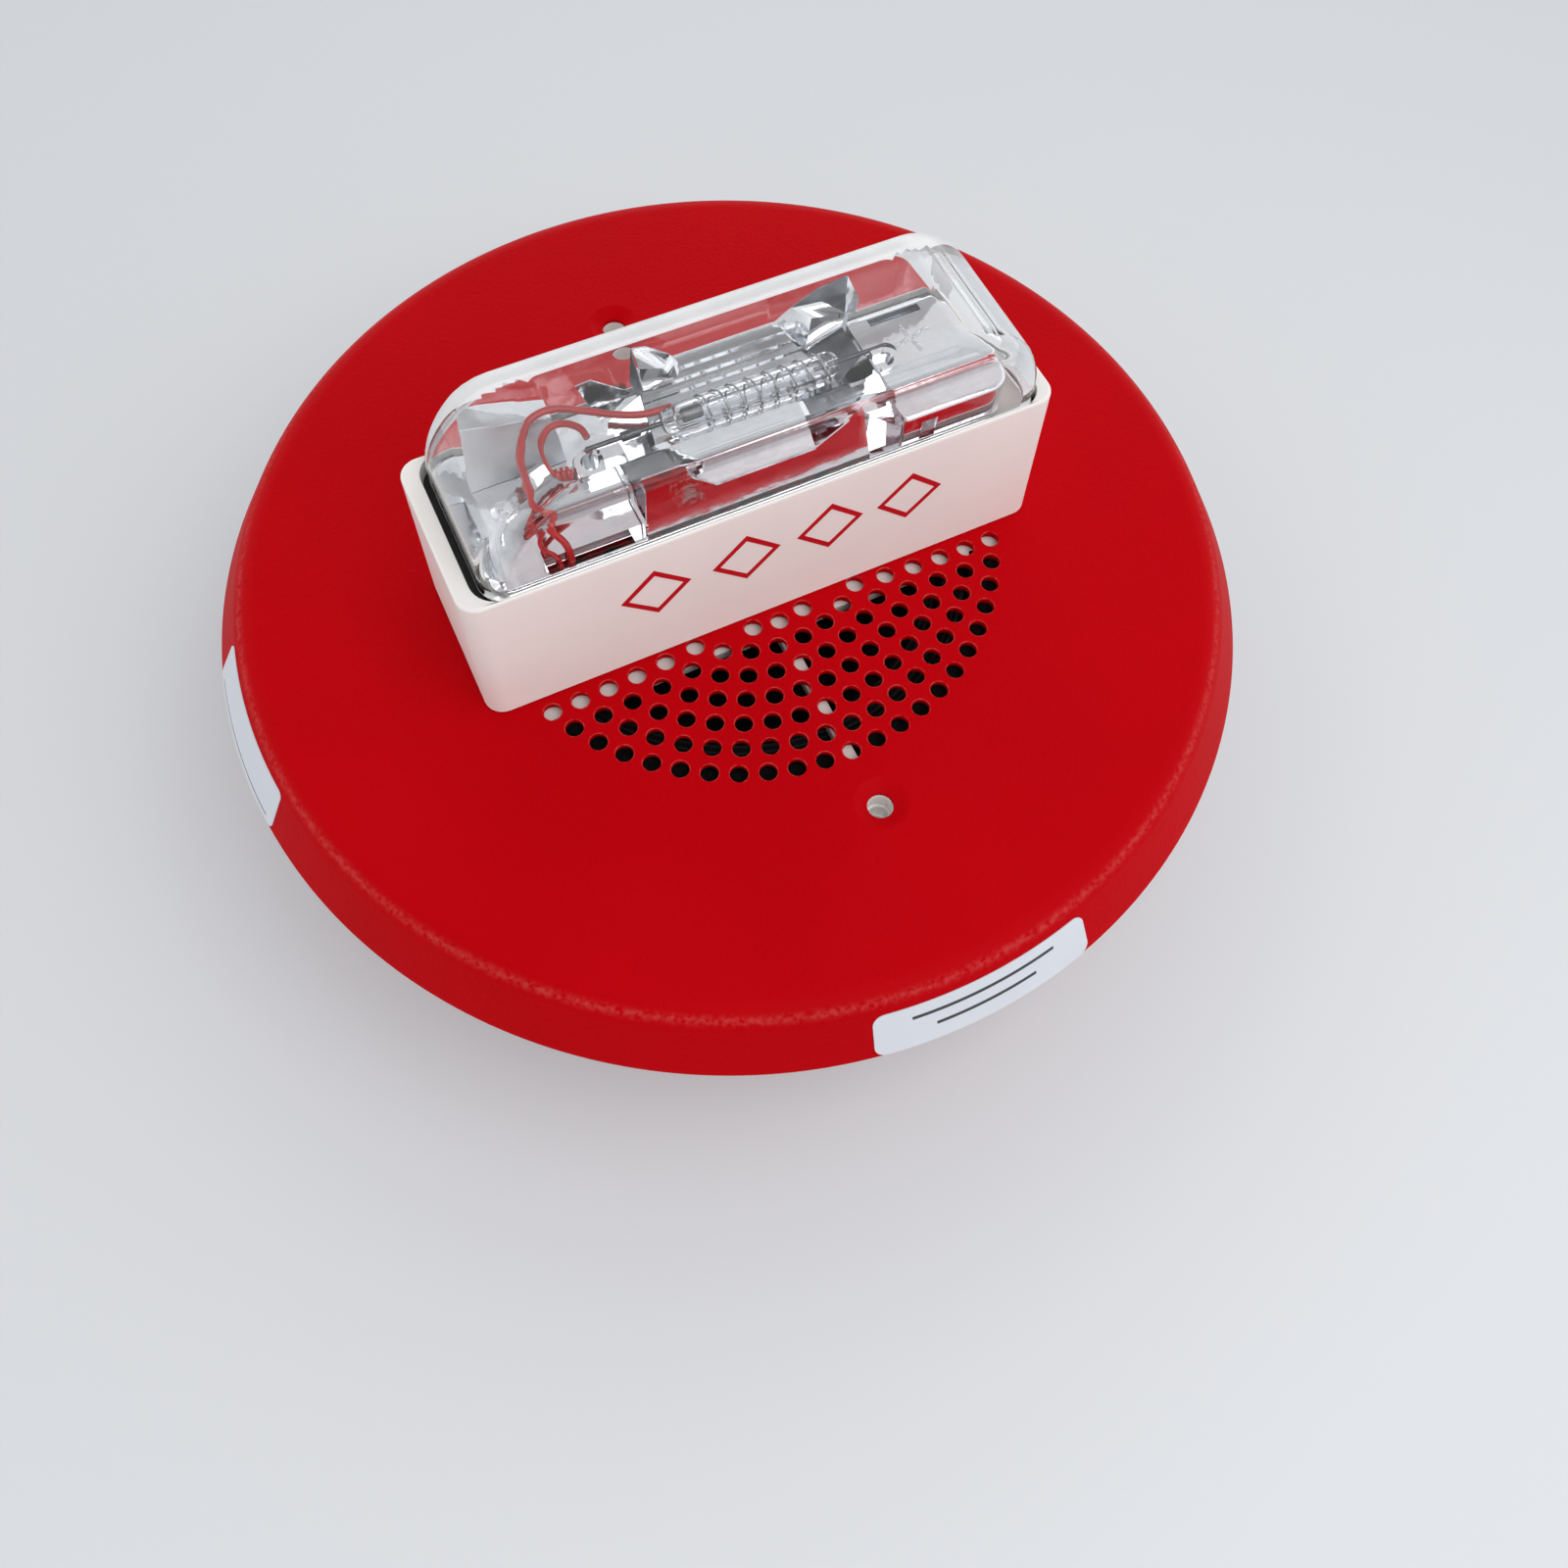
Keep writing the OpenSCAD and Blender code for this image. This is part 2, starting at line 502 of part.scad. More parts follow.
// braided leads from the lugs, in through the windows beside the spoke, to the cone's underside
module tinsel_leads() color([0.72, 0.6, 0.4]) for (s = [-1, 1]) rotate(strip_a)
  tube_along(curve([[47.4, s * 4.7, -3.1], [45.4, s * 9, -3.8], [41.6, s * 13, -4.6],
    [36, s * 12.6, -5], [30.6, s * 7.4, -4.2], [27, s * 2.8, -2.8]], 4), 0.35);
module driver_screws() color("silver") for (a = [45:90:315]) rotate(a)
  translate([ear_r, 0, flange_z - 0.05]) pan_screw(1.4, 5.2, 3, 1.9);

// ---- rear carrier ----
module rear_saddle() color([0.13, 0.13, 0.14]) difference() {
  union() {
    translate([0, 0, saddle_z]) linear_extrude(saddle_t) rounded_rect(-46, 41, -31, 31, 5);
    for (p = board_hole_at) translate([p.x, p.y, rear_board_z + board_t + 0.05])
      cylinder(r = 2.6, h = saddle_z - rear_board_z - board_t);
    // lip that centres the saddle on the yoke
    translate([0, 0, saddle_z + saddle_t - 0.1]) difference() {
      cylinder(r = magnet_r, h = 3.4, $fn = 96);
      translate([0, 0, -1]) cylinder(r = magnet_r - 2.9, h = 6, $fn = 96);
    }
  }
  translate([0, 0, saddle_z - 1]) cylinder(r = 2.1, h = 5);
  for (p = board_hole_at) translate([p.x, p.y, rear_board_z]) cylinder(r = 1.05, h = 6.5);
  for (y = [-20.5, 20.5]) translate([transformer_x, y, saddle_z - 1]) cylinder(r = 1.35, h = 5);
}
module saddle_screw() color("silver") translate([0, 0, saddle_z - 0.05]) pan_screw(1.6, 6.6, 3.6, 2.2);
module terminal_board() color([0.05, 0.3, 0.15]) difference() {
  translate([0, 0, rear_board_z]) linear_extrude(board_t) rounded_rect(-45, -7, -30, 30, 1.5);
  for (p = board_hole_at) translate([p.x, p.y, rear_board_z - 1]) cylinder(r = 1.3, h = 4);
}
module board_screws() color("silver") for (p = board_hole_at) translate([p.x, p.y, rear_board_z - 0.05])
  pan_screw(1, 5.6, 2.3, 1.5);
module terminal_block() color([0.1, 0.35, 0.2]) difference() {
  half = poles * pole_pitch / 2 + 1;
  block([block_x, -half, rear_end_z], [block_x + block_w, half, rear_board_z - 0.05]);
  for (i = [0:poles - 1]) translate([block_x, (i - (poles - 1) / 2) * pole_pitch, 0]) {
    translate([-1, 0, rear_board_z - 4.6]) rotate([0, 90, 0]) cylinder(r = 1.8, h = 9);
    translate([7, 0, rear_end_z - 1]) cylinder(r = 2.7, h = 5.2);
    translate([7, 0, rear_end_z]) cylinder(r = 1.5, h = 11);
  }
  block([block_x - 1, -half - 1, rear_end_z - 1], [block_x + 3, half + 1, rear_end_z + 3]);
}
module terminal_screws() color([0.75, 0.75, 0.76]) for (i = [0:poles - 1])
  translate([block_x + 7, (i - (poles - 1) / 2) * pole_pitch, rear_end_z + 3.4]) difference() {
    union() {
      translate([0, 0, -1.2]) cylinder(r = 2.45, h = 1.9);
      cylinder(r = 1.4, h = 7);
    }
    translate([-2, -0.4, -1.3]) cube([4, 0.8, 1]);
  }

// slide switches: a body with an open track, and a knob that moves along Y between stops
module slide_body(x, y, stops) difference() {
  l = (stops - 1) * stop_pitch + knob_l;
  block([x - 3, y - 3, rear_board_z - switch_h], [x + 3, y + l + 3, rear_board_z - 0.05]);
  block([x - 1.3, y - 0.12, rear_board_z - switch_h - 1], [x + 1.3, y + l + 0.12, rear_board_z - 1]);
}
module slide_knob(x, y) {
  block([x - 1.2, y, rear_board_z - switch_h - 2.2], [x + 1.2, y + knob_l, rear_board_z - 1.1]);
}
candela_at = [-24, -22];
candela_stops = 4;
tap_at = [-24, 2];
tap_stops = 5;
voltage_at = [-14.5, 8];
voltage_stops = 2;
module candela_switch() color([0.15, 0.15, 0.16]) slide_body(candela_at.x, candela_at.y, candela_stops);
module candela_slider() color("white") slide_knob(candela_at.x, candela_at.y);
module tap_switch() color([0.15, 0.15, 0.16]) slide_body(tap_at.x, tap_at.y, tap_stops);
module tap_slider() color("white") slide_knob(tap_at.x, tap_at.y);
module voltage_switch() color([0.15, 0.15, 0.16]) slide_body(voltage_at.x, voltage_at.y, voltage_stops);
module voltage_slider() color([0.8, 0.1, 0.1]) slide_knob(voltage_at.x, voltage_at.y);

// line transformer: laminated core, winding on its middle leg, and a steel frame with two ears
core_z = [-52, -40];
module transformer_core() color([0.4, 0.38, 0.36]) translate([transformer_x, 0, 0]) difference() {
  block([-13, -16, core_z[0]], [13, 16, core_z[1]]);
  for (s = [-1, 1]) block([s * 7 - 2.5, -11, -60], [s * 7 + 2.5, 11, -30]);
}
module transformer_winding() color([0.85, 0.75, 0.3]) translate([transformer_x, 0, 0]) difference() {
  block([-9.2, -10.7, rear_end_z], [9.2, 10.7, saddle_z - 0.4]);
  block([-4.8, -12, core_z[0] - 0.2], [4.8, 12, core_z[1] + 0.2]);
}
module transformer_bracket() color([0.6, 0.6, 0.62]) translate([transformer_x, 0, 0]) difference() {
  union() {
    block([-11, -17.2, core_z[0] - 1.1], [11, 17.2, core_z[0] - 0.1]);
    for (s = [-1, 1]) {
      block([-11, s * 16.7 - 0.5, core_z[0] - 1], [11, s * 16.7 + 0.5, saddle_z - 0.1]);
      block([-5, s * 20.5 - 4.2, saddle_z - 1.1], [5, s * 20.5 + 4.2, saddle_z - 0.1]);
    }
  }
  block([-9.7, -11.3, -60], [9.7, 11.3, core_z[0]]);
  for (y = [-20.5, 20.5]) translate([0, y, saddle_z - 2]) cylinder(r = 1.6, h = 4);
}
module transformer_screws() color("silver") for (y = [-20.5, 20.5])
  translate([transformer_x, y, saddle_z - 1.15]) pan_screw(1.3, 3.7, 2.7, 1.7);

// insulated wires, each along points of its own; they end just clear of the boards they join
lead_r = 0.55;
wire_z = saddle_z - 1.6;
rear_solder_z = rear_board_z + board_t + 0.6;
module wire(points, r = lead_r) tube_along(curve(points, 3), r);
module transformer_leads() color([0.2, 0.3, 0.7]) for (y = [-8.5, -5.5, 5.5, 8.5])
  wire([[15.2, y * 0.8, wire_z + 0.2], [11, y, wire_z], [4, y, wire_z - 0.6],
    [-2, y * 0.95, wire_z - 0.4], [-6.2, y * 0.9, wire_z - 0.6], [-9.5, y * 0.9, rear_solder_z]]);
module driver_leads() color([0.1, 0.1, 0.1]) for (i = [0, 1])
  wire([[-32.4 - 4.4 * i, 36.8 - 4.4 * i, -3.6], [-33.6 - 4.4 * i, 38 - 4.4 * i, -6],
    [-36 - 3 * i, 38 - 2 * i, -14], [-39 - 1.6 * i, 37 - 1.6 * i, -26],
    [-40 - 1.6 * i, 34.5 - 0.6 * i, -35], [-39 - 2 * i, 30.5, wire_z - 0.2],
    [-37 - 2 * i, 27, rear_solder_z]]);
module strobe_harness() color([0.75, 0.08, 0.08]) for (y = [-1.2, 1.2])
  wire([[-39, y, rear_solder_z], [-42, y, wire_z - 0.4], [-47.5, y, wire_z], [-51, y, saddle_z + 5],
    [-53.6, y, -18], [-54.2, y, -4], [-53.2, y, 4], [lead_slot_x, y, 9],
    [lead_slot_x + 0.3, y, 15], [-51.2, y, 22], [-48, y * 1.3, 25.6], [-46, y * 1.6, board_z - 0.6]]);

faceplate();
rim_labels();
strobe_bezel();
strobe_lens();
reflector();
flash_tube();
tube_electrodes();
trigger_wire();
tube_leads();
strobe_board();
reflector_screws();
flash_capacitor();
trigger_coil();
boost_inductor();
strobe_board_parts();
mounting_bridge();
bezel_screws();
grille_gasket();
driver_basket();
cone_surround();
driver_cone();
dust_cap();
coil_former();
voice_coil();
spider();
front_plate();
ring_magnet();
pole_yoke();
driver_terminals();
tinsel_leads();
driver_screws();
rear_saddle();
saddle_screw();
terminal_board();
board_screws();
terminal_block();
terminal_screws();
candela_switch();
candela_slider();
tap_switch();
tap_slider();
voltage_switch();
voltage_slider();
transformer_core();
transformer_winding();
transformer_bracket();
transformer_screws();
transformer_leads();
driver_leads();
strobe_harness();
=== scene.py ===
import math
import bmesh
import bpy
from mathutils import Matrix, Vector
from mathutils.geometry import delaunay_2d_cdt


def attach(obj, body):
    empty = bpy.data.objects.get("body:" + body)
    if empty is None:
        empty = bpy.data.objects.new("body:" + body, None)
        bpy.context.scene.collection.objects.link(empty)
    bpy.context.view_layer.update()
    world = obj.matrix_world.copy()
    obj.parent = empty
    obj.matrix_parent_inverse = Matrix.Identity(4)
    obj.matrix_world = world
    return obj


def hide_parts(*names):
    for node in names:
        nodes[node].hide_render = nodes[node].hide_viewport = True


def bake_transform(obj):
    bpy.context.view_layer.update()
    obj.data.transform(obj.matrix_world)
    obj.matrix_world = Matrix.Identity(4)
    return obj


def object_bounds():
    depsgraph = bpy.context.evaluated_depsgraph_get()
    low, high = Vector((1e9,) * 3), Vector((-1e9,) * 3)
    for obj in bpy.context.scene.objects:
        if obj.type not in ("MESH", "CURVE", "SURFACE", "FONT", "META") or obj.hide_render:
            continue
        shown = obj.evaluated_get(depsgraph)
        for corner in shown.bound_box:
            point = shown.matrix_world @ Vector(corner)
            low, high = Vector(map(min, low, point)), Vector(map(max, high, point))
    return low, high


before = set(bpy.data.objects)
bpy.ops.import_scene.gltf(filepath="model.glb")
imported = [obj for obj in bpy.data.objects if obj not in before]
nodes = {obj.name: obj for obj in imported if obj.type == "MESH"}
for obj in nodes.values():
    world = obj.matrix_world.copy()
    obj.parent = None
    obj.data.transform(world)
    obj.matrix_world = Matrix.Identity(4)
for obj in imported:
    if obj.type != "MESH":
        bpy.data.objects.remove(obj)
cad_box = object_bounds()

scene = bpy.context.scene

# ---- Camera ----
# Held above the table and in front of the device, off to its left, looking steeply down at it.
# A moderately wide lens, so the strobe module stands a little large against the faceplate.
camera_data = bpy.data.cameras.new("camera")
camera_data.lens = 28.15
camera_data.sensor_width = 36
camera_data.clip_start = 0.01
camera = bpy.data.objects.new("camera", camera_data)
scene.collection.objects.link(camera)
camera_right = Vector((0.89969, -0.43527, 0.03311)).normalized()
camera_up = Vector((0.38360, 0.82453, 0.41593)).normalized()
camera_back = camera_right.cross(camera_up)
turn = Matrix((camera_right, camera_up, camera_back)).transposed().to_4x4()
camera.matrix_world = Matrix.Translation((-0.05953, -0.13005, 0.20980)) @ turn
scene.camera = camera

# ---- Table and light ----
# A plain pale table top that the device lies on, on its terminal block and transformer.
# The room is bright all round and dark overhead, where one soft lamp hangs a little to the front.
scene.view_settings.view_transform = "Standard"
table_z = cad_box[0].z - 0.0001
half_side = 4.0
table_mesh = bpy.data.meshes.new("table")
table_corners = [(sx * half_side, sy * half_side, table_z) for sx, sy in ((-1, -1), (1, -1), (1, 1), (-1, 1))]
table_mesh.from_pydata(table_corners, [], [(0, 1, 2, 3)])
table = bpy.data.objects.new("table", table_mesh)
scene.collection.objects.link(table)


def bare_material(name):
    """A new material with its nodes and its shader."""
    material = bpy.data.materials.new(name)
    material.use_nodes = True
    return material, material.node_tree, material.node_tree.nodes["Principled BSDF"]


def wired(tree, kind, sockets=None, **settings):
    """A new shader node. Each socket takes a value, or a link when it is given another node's output."""
    node = tree.nodes.new("ShaderNode" + kind)
    for setting, value in settings.items():
        setattr(node, setting, value)
    for socket, value in (sockets or {}).items():
        if isinstance(value, bpy.types.NodeSocket):
            tree.links.new(value, node.inputs[socket])
        else:
            node.inputs[socket].default_value = value
    return node


table_finish, _, table_shader = bare_material("table_finish")
table_shader.inputs["Base Color"].default_value = (0.745, 0.765, 0.79, 1)
table_shader.inputs["Roughness"].default_value = 0.75
table_mesh.materials.append(table_finish)

studio = bpy.data.worlds.new("studio")
studio.use_nodes = True
scene.world = studio
sky = studio.node_tree
direction = wired(sky, "TexCoord").outputs["Generated"]
height = wired(sky, "SeparateXYZ", {0: direction}).outputs["Z"]
fall_off = wired(sky, "ValToRGB", {0: height})
shades = fall_off.color_ramp.elements
shades[0].color = (0.98, 0.985, 1.0, 1)
shades[1].color = (0.14, 0.142, 0.146, 1)
for up, shade in ((0.25, 0.93), (0.5, 0.68), (0.75, 0.50)):
    shades.new(up).color = (shade * 0.985, shade * 0.99, shade, 1)


def towards(aim, begins, full, share):
    """Scales the room's light near one direction. begins and full are cosines of the angle from it."""
    near = wired(sky, "VectorMath", {0: direction, 1: aim}, operation="DOT_PRODUCT").outputs["Value"]
    values = {"Value": near, "From Min": begins, "From Max": full, "To Min": 1.0, "To Max": share}
    return wired(sky, "MapRange", values, interpolation_type="SMOOTHSTEP").outputs[0]


# someone stands in front, in clothes darker than the room, and a window stands low at the far side
figure = towards((-0.45, -0.80, 0.40), 0.58, 0.96, 0.45)
window_glow = towards((0.30, 0.92, 0.22), 0.80, 0.95, 1.35)
level = wired(sky, "Math", {0: figure, 1: window_glow}, operation="MULTIPLY")
strength = wired(sky, "Math", {0: level.outputs[0], 1: 1.55}, operation="MULTIPLY")
sky.links.new(fall_off.outputs[0], sky.nodes["Background"].inputs[0])
sky.links.new(strength.outputs[0], sky.nodes["Background"].inputs[1])

lamp_data = bpy.data.lights.new("soft_lamp", "AREA")
lamp_data.shape = "RECTANGLE"
lamp_data.size = 0.4
lamp_data.size_y = 0.35
lamp_data.energy = 1.0
lamp = bpy.data.objects.new("soft_lamp", lamp_data)
lamp.location = (0.05, -0.24, 0.44)
lamp.rotation_euler = (Vector((0, 0, 0)) - lamp.location).to_track_quat("-Z", "Y").to_euler()
scene.collection.objects.link(lamp)

# ---- Faceplate ----
# The round red plate that covers the ceiling cut-out, moulded in ABS with a fine leather grain.
# One piece: a flat face drilled with rings of sound holes, a rounded shoulder and a sloping rim.
# Two dished holes take the fixing screws, and four bosses behind it take the driver's screws.
MM = 0.001
seam = 0.001 * MM
face_z = 11.5
inner_z = 9.3
skin_t = face_z - inner_z
rim_r = 101.6
shoulder_r = 94.6
round_r = 6.0
slope_angle = math.atan2(face_z, rim_r - shoulder_r)
arc_centre_r = shoulder_r - round_r * math.tan(slope_angle / 2)
arc_centre_z = face_z - round_r
fixing_y = 61.7
driver_hole_r = 57.8
bezel_screw_x = 50
bezel_screw_y = 10.5


class Form:
    """The points and faces of one piece, in millimetres."""

    def __init__(self):
        self.points = []
        self.faces = []

    def add(self, points, faces):
        first = len(self.points)
        self.points += [tuple(p) for p in points]
        self.faces += [tuple(first + i for i in f) for f in faces]

    def skin(self, loops, wrap=False, caps=True):
        """Quads between loops of equal length. wrap joins the last to the first, caps closes both ends."""
        n = len(loops[0])
        points = [p for loop in loops for p in loop]
        faces = []
        for row in range(len(loops) if wrap else len(loops) - 1):
            low, high = row * n, (row + 1) % len(loops) * n
            for i in range(n):
                k = (i + 1) % n
                faces.append((low + i, low + k, high + k, high + i))
        if caps and not wrap:
            faces.append(tuple(range(n - 1, -1, -1)))
            faces.append(tuple(range(len(points) - n, len(points))))
        self.add(points, faces)

    def lathe(self, profile, steps=96, centre=(0, 0), wrap=True, caps=True):
        """A profile of (radius, z) turned round an upright axis."""
        self.skin([ring(centre[0], centre[1], r, steps, z) for r, z in profile], wrap, caps)

    def slab(self, outline, thick):
        """A flat outline given thickness along a direction."""
        self.skin([outline, [tuple(a + b for a, b in zip(p, thick)) for p in outline]])

    def block(self, low, high):
        """A straight block between two opposite corners."""
        (x0, y0, z0), (x1, y1, z1) = low, high
        self.slab([(x0, y0, z0), (x1, y0, z0), (x1, y1, z0), (x0, y1, z0)], (0, 0, z1 - z0))


def ring(x, y, r, steps, z, stretch=0.0):
    """A circle of points, or with stretch a slot that is longer along Y."""
    points = []
    for i in range(steps):
        a = 2 * math.pi * (i + 0.5) / steps
        points.append((x + r * math.cos(a), y + r * math.sin(a) + math.copysign(stretch, math.sin(a)), z))
    return points


def flat_with_holes(form, outer, holes):
    """Fills between an outer loop and round hole loops that lie in one plane."""
    flat, edges, owner = [], [], []
    for number, loop in enumerate([outer] + holes):
        first = len(flat)
        flat += [Vector(p[:2]) for p in loop]
        owner += [number] * len(loop)
        edges += [(first + i, first + (i + 1) % len(loop)) for i in range(len(loop))]
    found, _, triangles, source, _, _ = delaunay_2d_cdt(flat, edges, [], 0, 1e-6)
    belongs = [owner[s[0]] for s in source]
    kept = [t for t in triangles if {belongs[v] for v in t} == {0} or len({belongs[v] for v in t}) > 1]
    form.add([(p.x, p.y, outer[0][2]) for p in found], kept)


def piece(name, form, material, body="housing", sharp=35, bevel=0.0):
    """Makes one object from a form, joins its touching points, and smooths it up to a sharp angle."""
    mesh = bpy.data.meshes.new(name)
    mesh.from_pydata([[c * MM for c in p] for p in form.points], [], form.faces)
    work = bmesh.new()
    work.from_mesh(mesh)
    bmesh.ops.remove_doubles(work, verts=work.verts, dist=seam)
    bmesh.ops.recalc_face_normals(work, faces=work.faces)
    work.to_mesh(mesh)
    work.free()
    obj = bpy.data.objects.new(name, mesh)
    scene.collection.objects.link(obj)
    mesh.materials.append(material)
    soften(obj, sharp, bevel)
    if body:
        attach(obj, body)
    return obj


def round_edges(obj, width, sharp):
    """Rounds the edges that turn by more than an angle."""
    edge = obj.modifiers.new("edge", "BEVEL")
    edge.width = width * MM
    edge.segments = 2
    edge.limit_method = "ANGLE"
    edge.angle_limit = math.radians(sharp)
    return edge


def soften(obj, sharp, bevel):
    """Small rounded edges, and smooth shading that keeps the flat faces flat."""
    obj.data.polygons.foreach_set("use_smooth", [True] * len(obj.data.polygons))
    if bevel:
        round_edges(obj, bevel, sharp).miter_outer = "MITER_ARC"
    else:
        obj.data.set_sharp_from_angle(angle=math.radians(sharp))
    even = obj.modifiers.new("even", "WEIGHTED_NORMAL")
    even.keep_sharp = True


def finish(name, colour, rough, metal=0.0, drift=0.1, patch=200, grain=900, depth=0.01, spread=0.08,
           shine=0.5):
    """A principled surface. Its colour and gloss drift a little in patches, over a fine grain in relief.
    patch and grain say how many patches and grains there are to the metre; depth is the grain's, in mm."""
    material, tree, shader = bare_material(name)
    shader.inputs["Metallic"].default_value = metal
    shader.inputs["Specular IOR Level"].default_value = shine
    place = wired(tree, "TexCoord").outputs["Object"]
    clouds = wired(tree, "TexNoise", {"Vector": place, "Scale": patch, "Detail": 5}).outputs[0]
    tone = wired(tree, "ValToRGB", {0: clouds}, name="tone")
    for stop, position, share in zip(tone.color_ramp.elements, (0.3, 0.7), (1 - drift, 1 + drift)):
        stop.position = position
        stop.color = (*[min(1, c * share) for c in colour], 1)
    gloss_range = {"To Min": max(0.02, rough - spread / 2), "To Max": min(1, rough + spread / 2)}
    gloss = wired(tree, "MapRange", {"Value": clouds, **gloss_range})
    tree.links.new(tone.outputs[0], shader.inputs["Base Color"])
    tree.links.new(gloss.outputs[0], shader.inputs["Roughness"])
    if grain:
        bumps = wired(tree, "TexNoise", {"Vector": place, "Scale": grain, "Detail": 3}, name="grain")
        relief = wired(tree, "Bump", {"Height": bumps.outputs[0], "Distance": depth * MM, "Strength": 1.0})
        tree.links.new(relief.outputs[0], shader.inputs["Normal"])
    return material


red_abs = finish("red_abs", (0.475, 0.0, 0.003), 0.5, drift=0.05, patch=25, grain=1100, depth=0.09,
                 shine=0.03)
# painted highlight: the tips of the grain are paler along the shoulder and the holes' top edges, standing in
# for the light those edges catch
red_tree = red_abs.node_tree
grain_height = red_tree.nodes["grain"].outputs[0]
plain_red = red_tree.nodes["tone"].outputs[0]
tips = wired(red_tree, "MapRange", {"Value": grain_height, "From Min": 0.35, "From Max": 0.65}).outputs[0]
highlight_mask = wired(red_tree, "Attribute", attribute_name="painted_highlight").outputs["Fac"]
lift = wired(red_tree, "Math", {0: highlight_mask, 1: tips}, operation="MULTIPLY").outputs[0]
highlight_mix = {"Factor": lift, "A": plain_red, "B": (0.72, 0.16, 0.15, 1)}
highlighted_red = wired(red_tree, "Mix", highlight_mix, data_type="RGBA")
red_tree.links.new(highlighted_red.outputs["Result"], red_tree.nodes["Principled BSDF"].inputs["Base Color"])

# a hole is (x, y, radius, stretch, edge), and an edge is a list of (outset, depth below the face)
moulded_edge = [(0.2, 0), (0.1, 0.02), (0.03, 0.08), (0, 0.18), (0, 0.9), (0.45, 1.1), (0.5, skin_t)]
plain_edge = [(0.4, 0), (0.1, 0), (0, 0.12), (0, skin_t - 0.1), (0.1, skin_t)]
dished_edge = [(3.0, 0), (2.7, 0), (2.45, 0.06), (2.2, 0.22), (0.25, 1.22), (0.02, 1.38), (0, 1.5)]
dished_edge += [(0, skin_t - 0.1), (0.1, skin_t)]
ring_pitch = 5.03
ring_count = 10
hole_r = 1.68
plain_band = 18
holes = []
for n in range(1, ring_count + 1):
    for k in range(6 * n):
        a = 2 * math.pi * k / (6 * n)
        x, y = n * ring_pitch * math.cos(a), n * ring_pitch * math.sin(a)
        if abs(y) > plain_band:
            holes.append((x, y, hole_r, 0, moulded_edge))
holes += [(0, side * fixing_y, 2.4, 0, dished_edge) for side in (-1, 1)]
holes += [(sx * bezel_screw_x, sy * bezel_screw_y, 1.7, 0, plain_edge) for sx in (-1, 1) for sy in (-1, 1)]
holes.append((-52.8, 0, 1.2, 2.5, plain_edge))

plate = Form()
rim_steps = 288
flat_r = arc_centre_r - 1
arc = [math.pi / 2 - slope_angle * i / 12 for i in range(13)]


def shoulder(r, angles):
    """The rounding between the flat face and the slope, as (radius, z)."""
    return [(arc_centre_r + r * math.cos(a), arc_centre_z + r * math.sin(a)) for a in angles]


outside = [(flat_r, face_z)]
outside += shoulder(round_r, arc)
slope = Vector((rim_r - shoulder_r, -face_z)).normalized()
outside += [(rim_r - slope.x * up, -slope.y * up) for up in (1.0, 0.25)] + [(rim_r - 0.12, 0)]
foot = skin_t / math.sin(slope_angle)
underside = [(rim_r - foot + 0.2, 0), (rim_r - foot, 0.2)]
underside += shoulder(round_r - skin_t, reversed(arc))
underside.append((flat_r, inner_z))
plate.lathe(outside + underside, rim_steps, wrap=False, caps=False)
hole_steps = 24
for side_z, step in ((face_z, 0), (inner_z, -1)):
    loops = [ring(x, y, r + edge[step][0], hole_steps, side_z, stretch) for x, y, r, stretch, edge in holes]
    flat_with_holes(plate, ring(0, 0, flat_r, rim_steps, side_z), loops)
for x, y, r, stretch, edge in holes:
    plate.skin([ring(x, y, r + out, hole_steps, face_z - down, stretch) for out, down in edge], caps=False)
boss_root = inner_z + 0.1
driver_boss = [(3.5, boss_root), (3.5, 5.6), (3.3, 5.4), (1.6, 5.4), (1.45, 5.6), (1.45, boss_root)]
for quarter in range(4):
    a = math.pi / 4 + quarter * math.pi / 2
    plate.lathe(driver_boss, 32, (driver_hole_r * math.cos(a), driver_hole_r * math.sin(a)))
faceplate = piece("red_faceplate", plate, red_abs, sharp=40)
grille_r = 52
highlight_tilt = 36
highlight_width = 7
# painted highlight: the holes' top edges and a band round the shoulder, where it would face the lamp, are
# made paler red
painted_highlight = faceplate.data.attributes.new("painted_highlight", "FLOAT", "POINT")
for vertex, amount in zip(faceplate.data.vertices, painted_highlight.data):
    x, y, z = vertex.co / MM
    reach = math.hypot(x, y)
    amount.value = 0.0
    if reach < grille_r and 0.01 < face_z - z < 0.1:
        amount.value = 0.45
    elif reach > arc_centre_r:
        tilt = math.degrees(math.atan2(reach - arc_centre_r, z - arc_centre_z))
        amount.value = 0.26 * math.exp(-((tilt - highlight_tilt) / highlight_width) ** 2)
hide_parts("faceplate")

# ---- Rim labels ----
# Two blank white vinyl stickers on the sloping rim, one at the front and one at the left end.
# Die-cut with round corners and pressed on by hand; only thin printed rules, no wording.
label_from = 3.7
label_w = 9.5
label_t = 0.16
label_gap = 0.02
print_z = label_gap + label_t
print_t = 0.015
vinyl = finish("label_vinyl", (0.66, 0.68, 0.74), 0.32, drift=0.02, patch=60, grain=700, depth=0.012)
label_ink = finish("label_ink", (0.03, 0.03, 0.035), 0.4, drift=0.08, grain=0)
slope_out = Vector((-slope.y, slope.x))


def slope_point(angle, along, lift):
    """A point at an angle round the rim, some way down its slope and lifted off it."""
    r = shoulder_r + slope.x * along + slope_out.x * lift
    z = face_z + slope.y * along + slope_out.y * lift
    return (r * math.cos(math.radians(angle)), r * math.sin(math.radians(angle)), z)


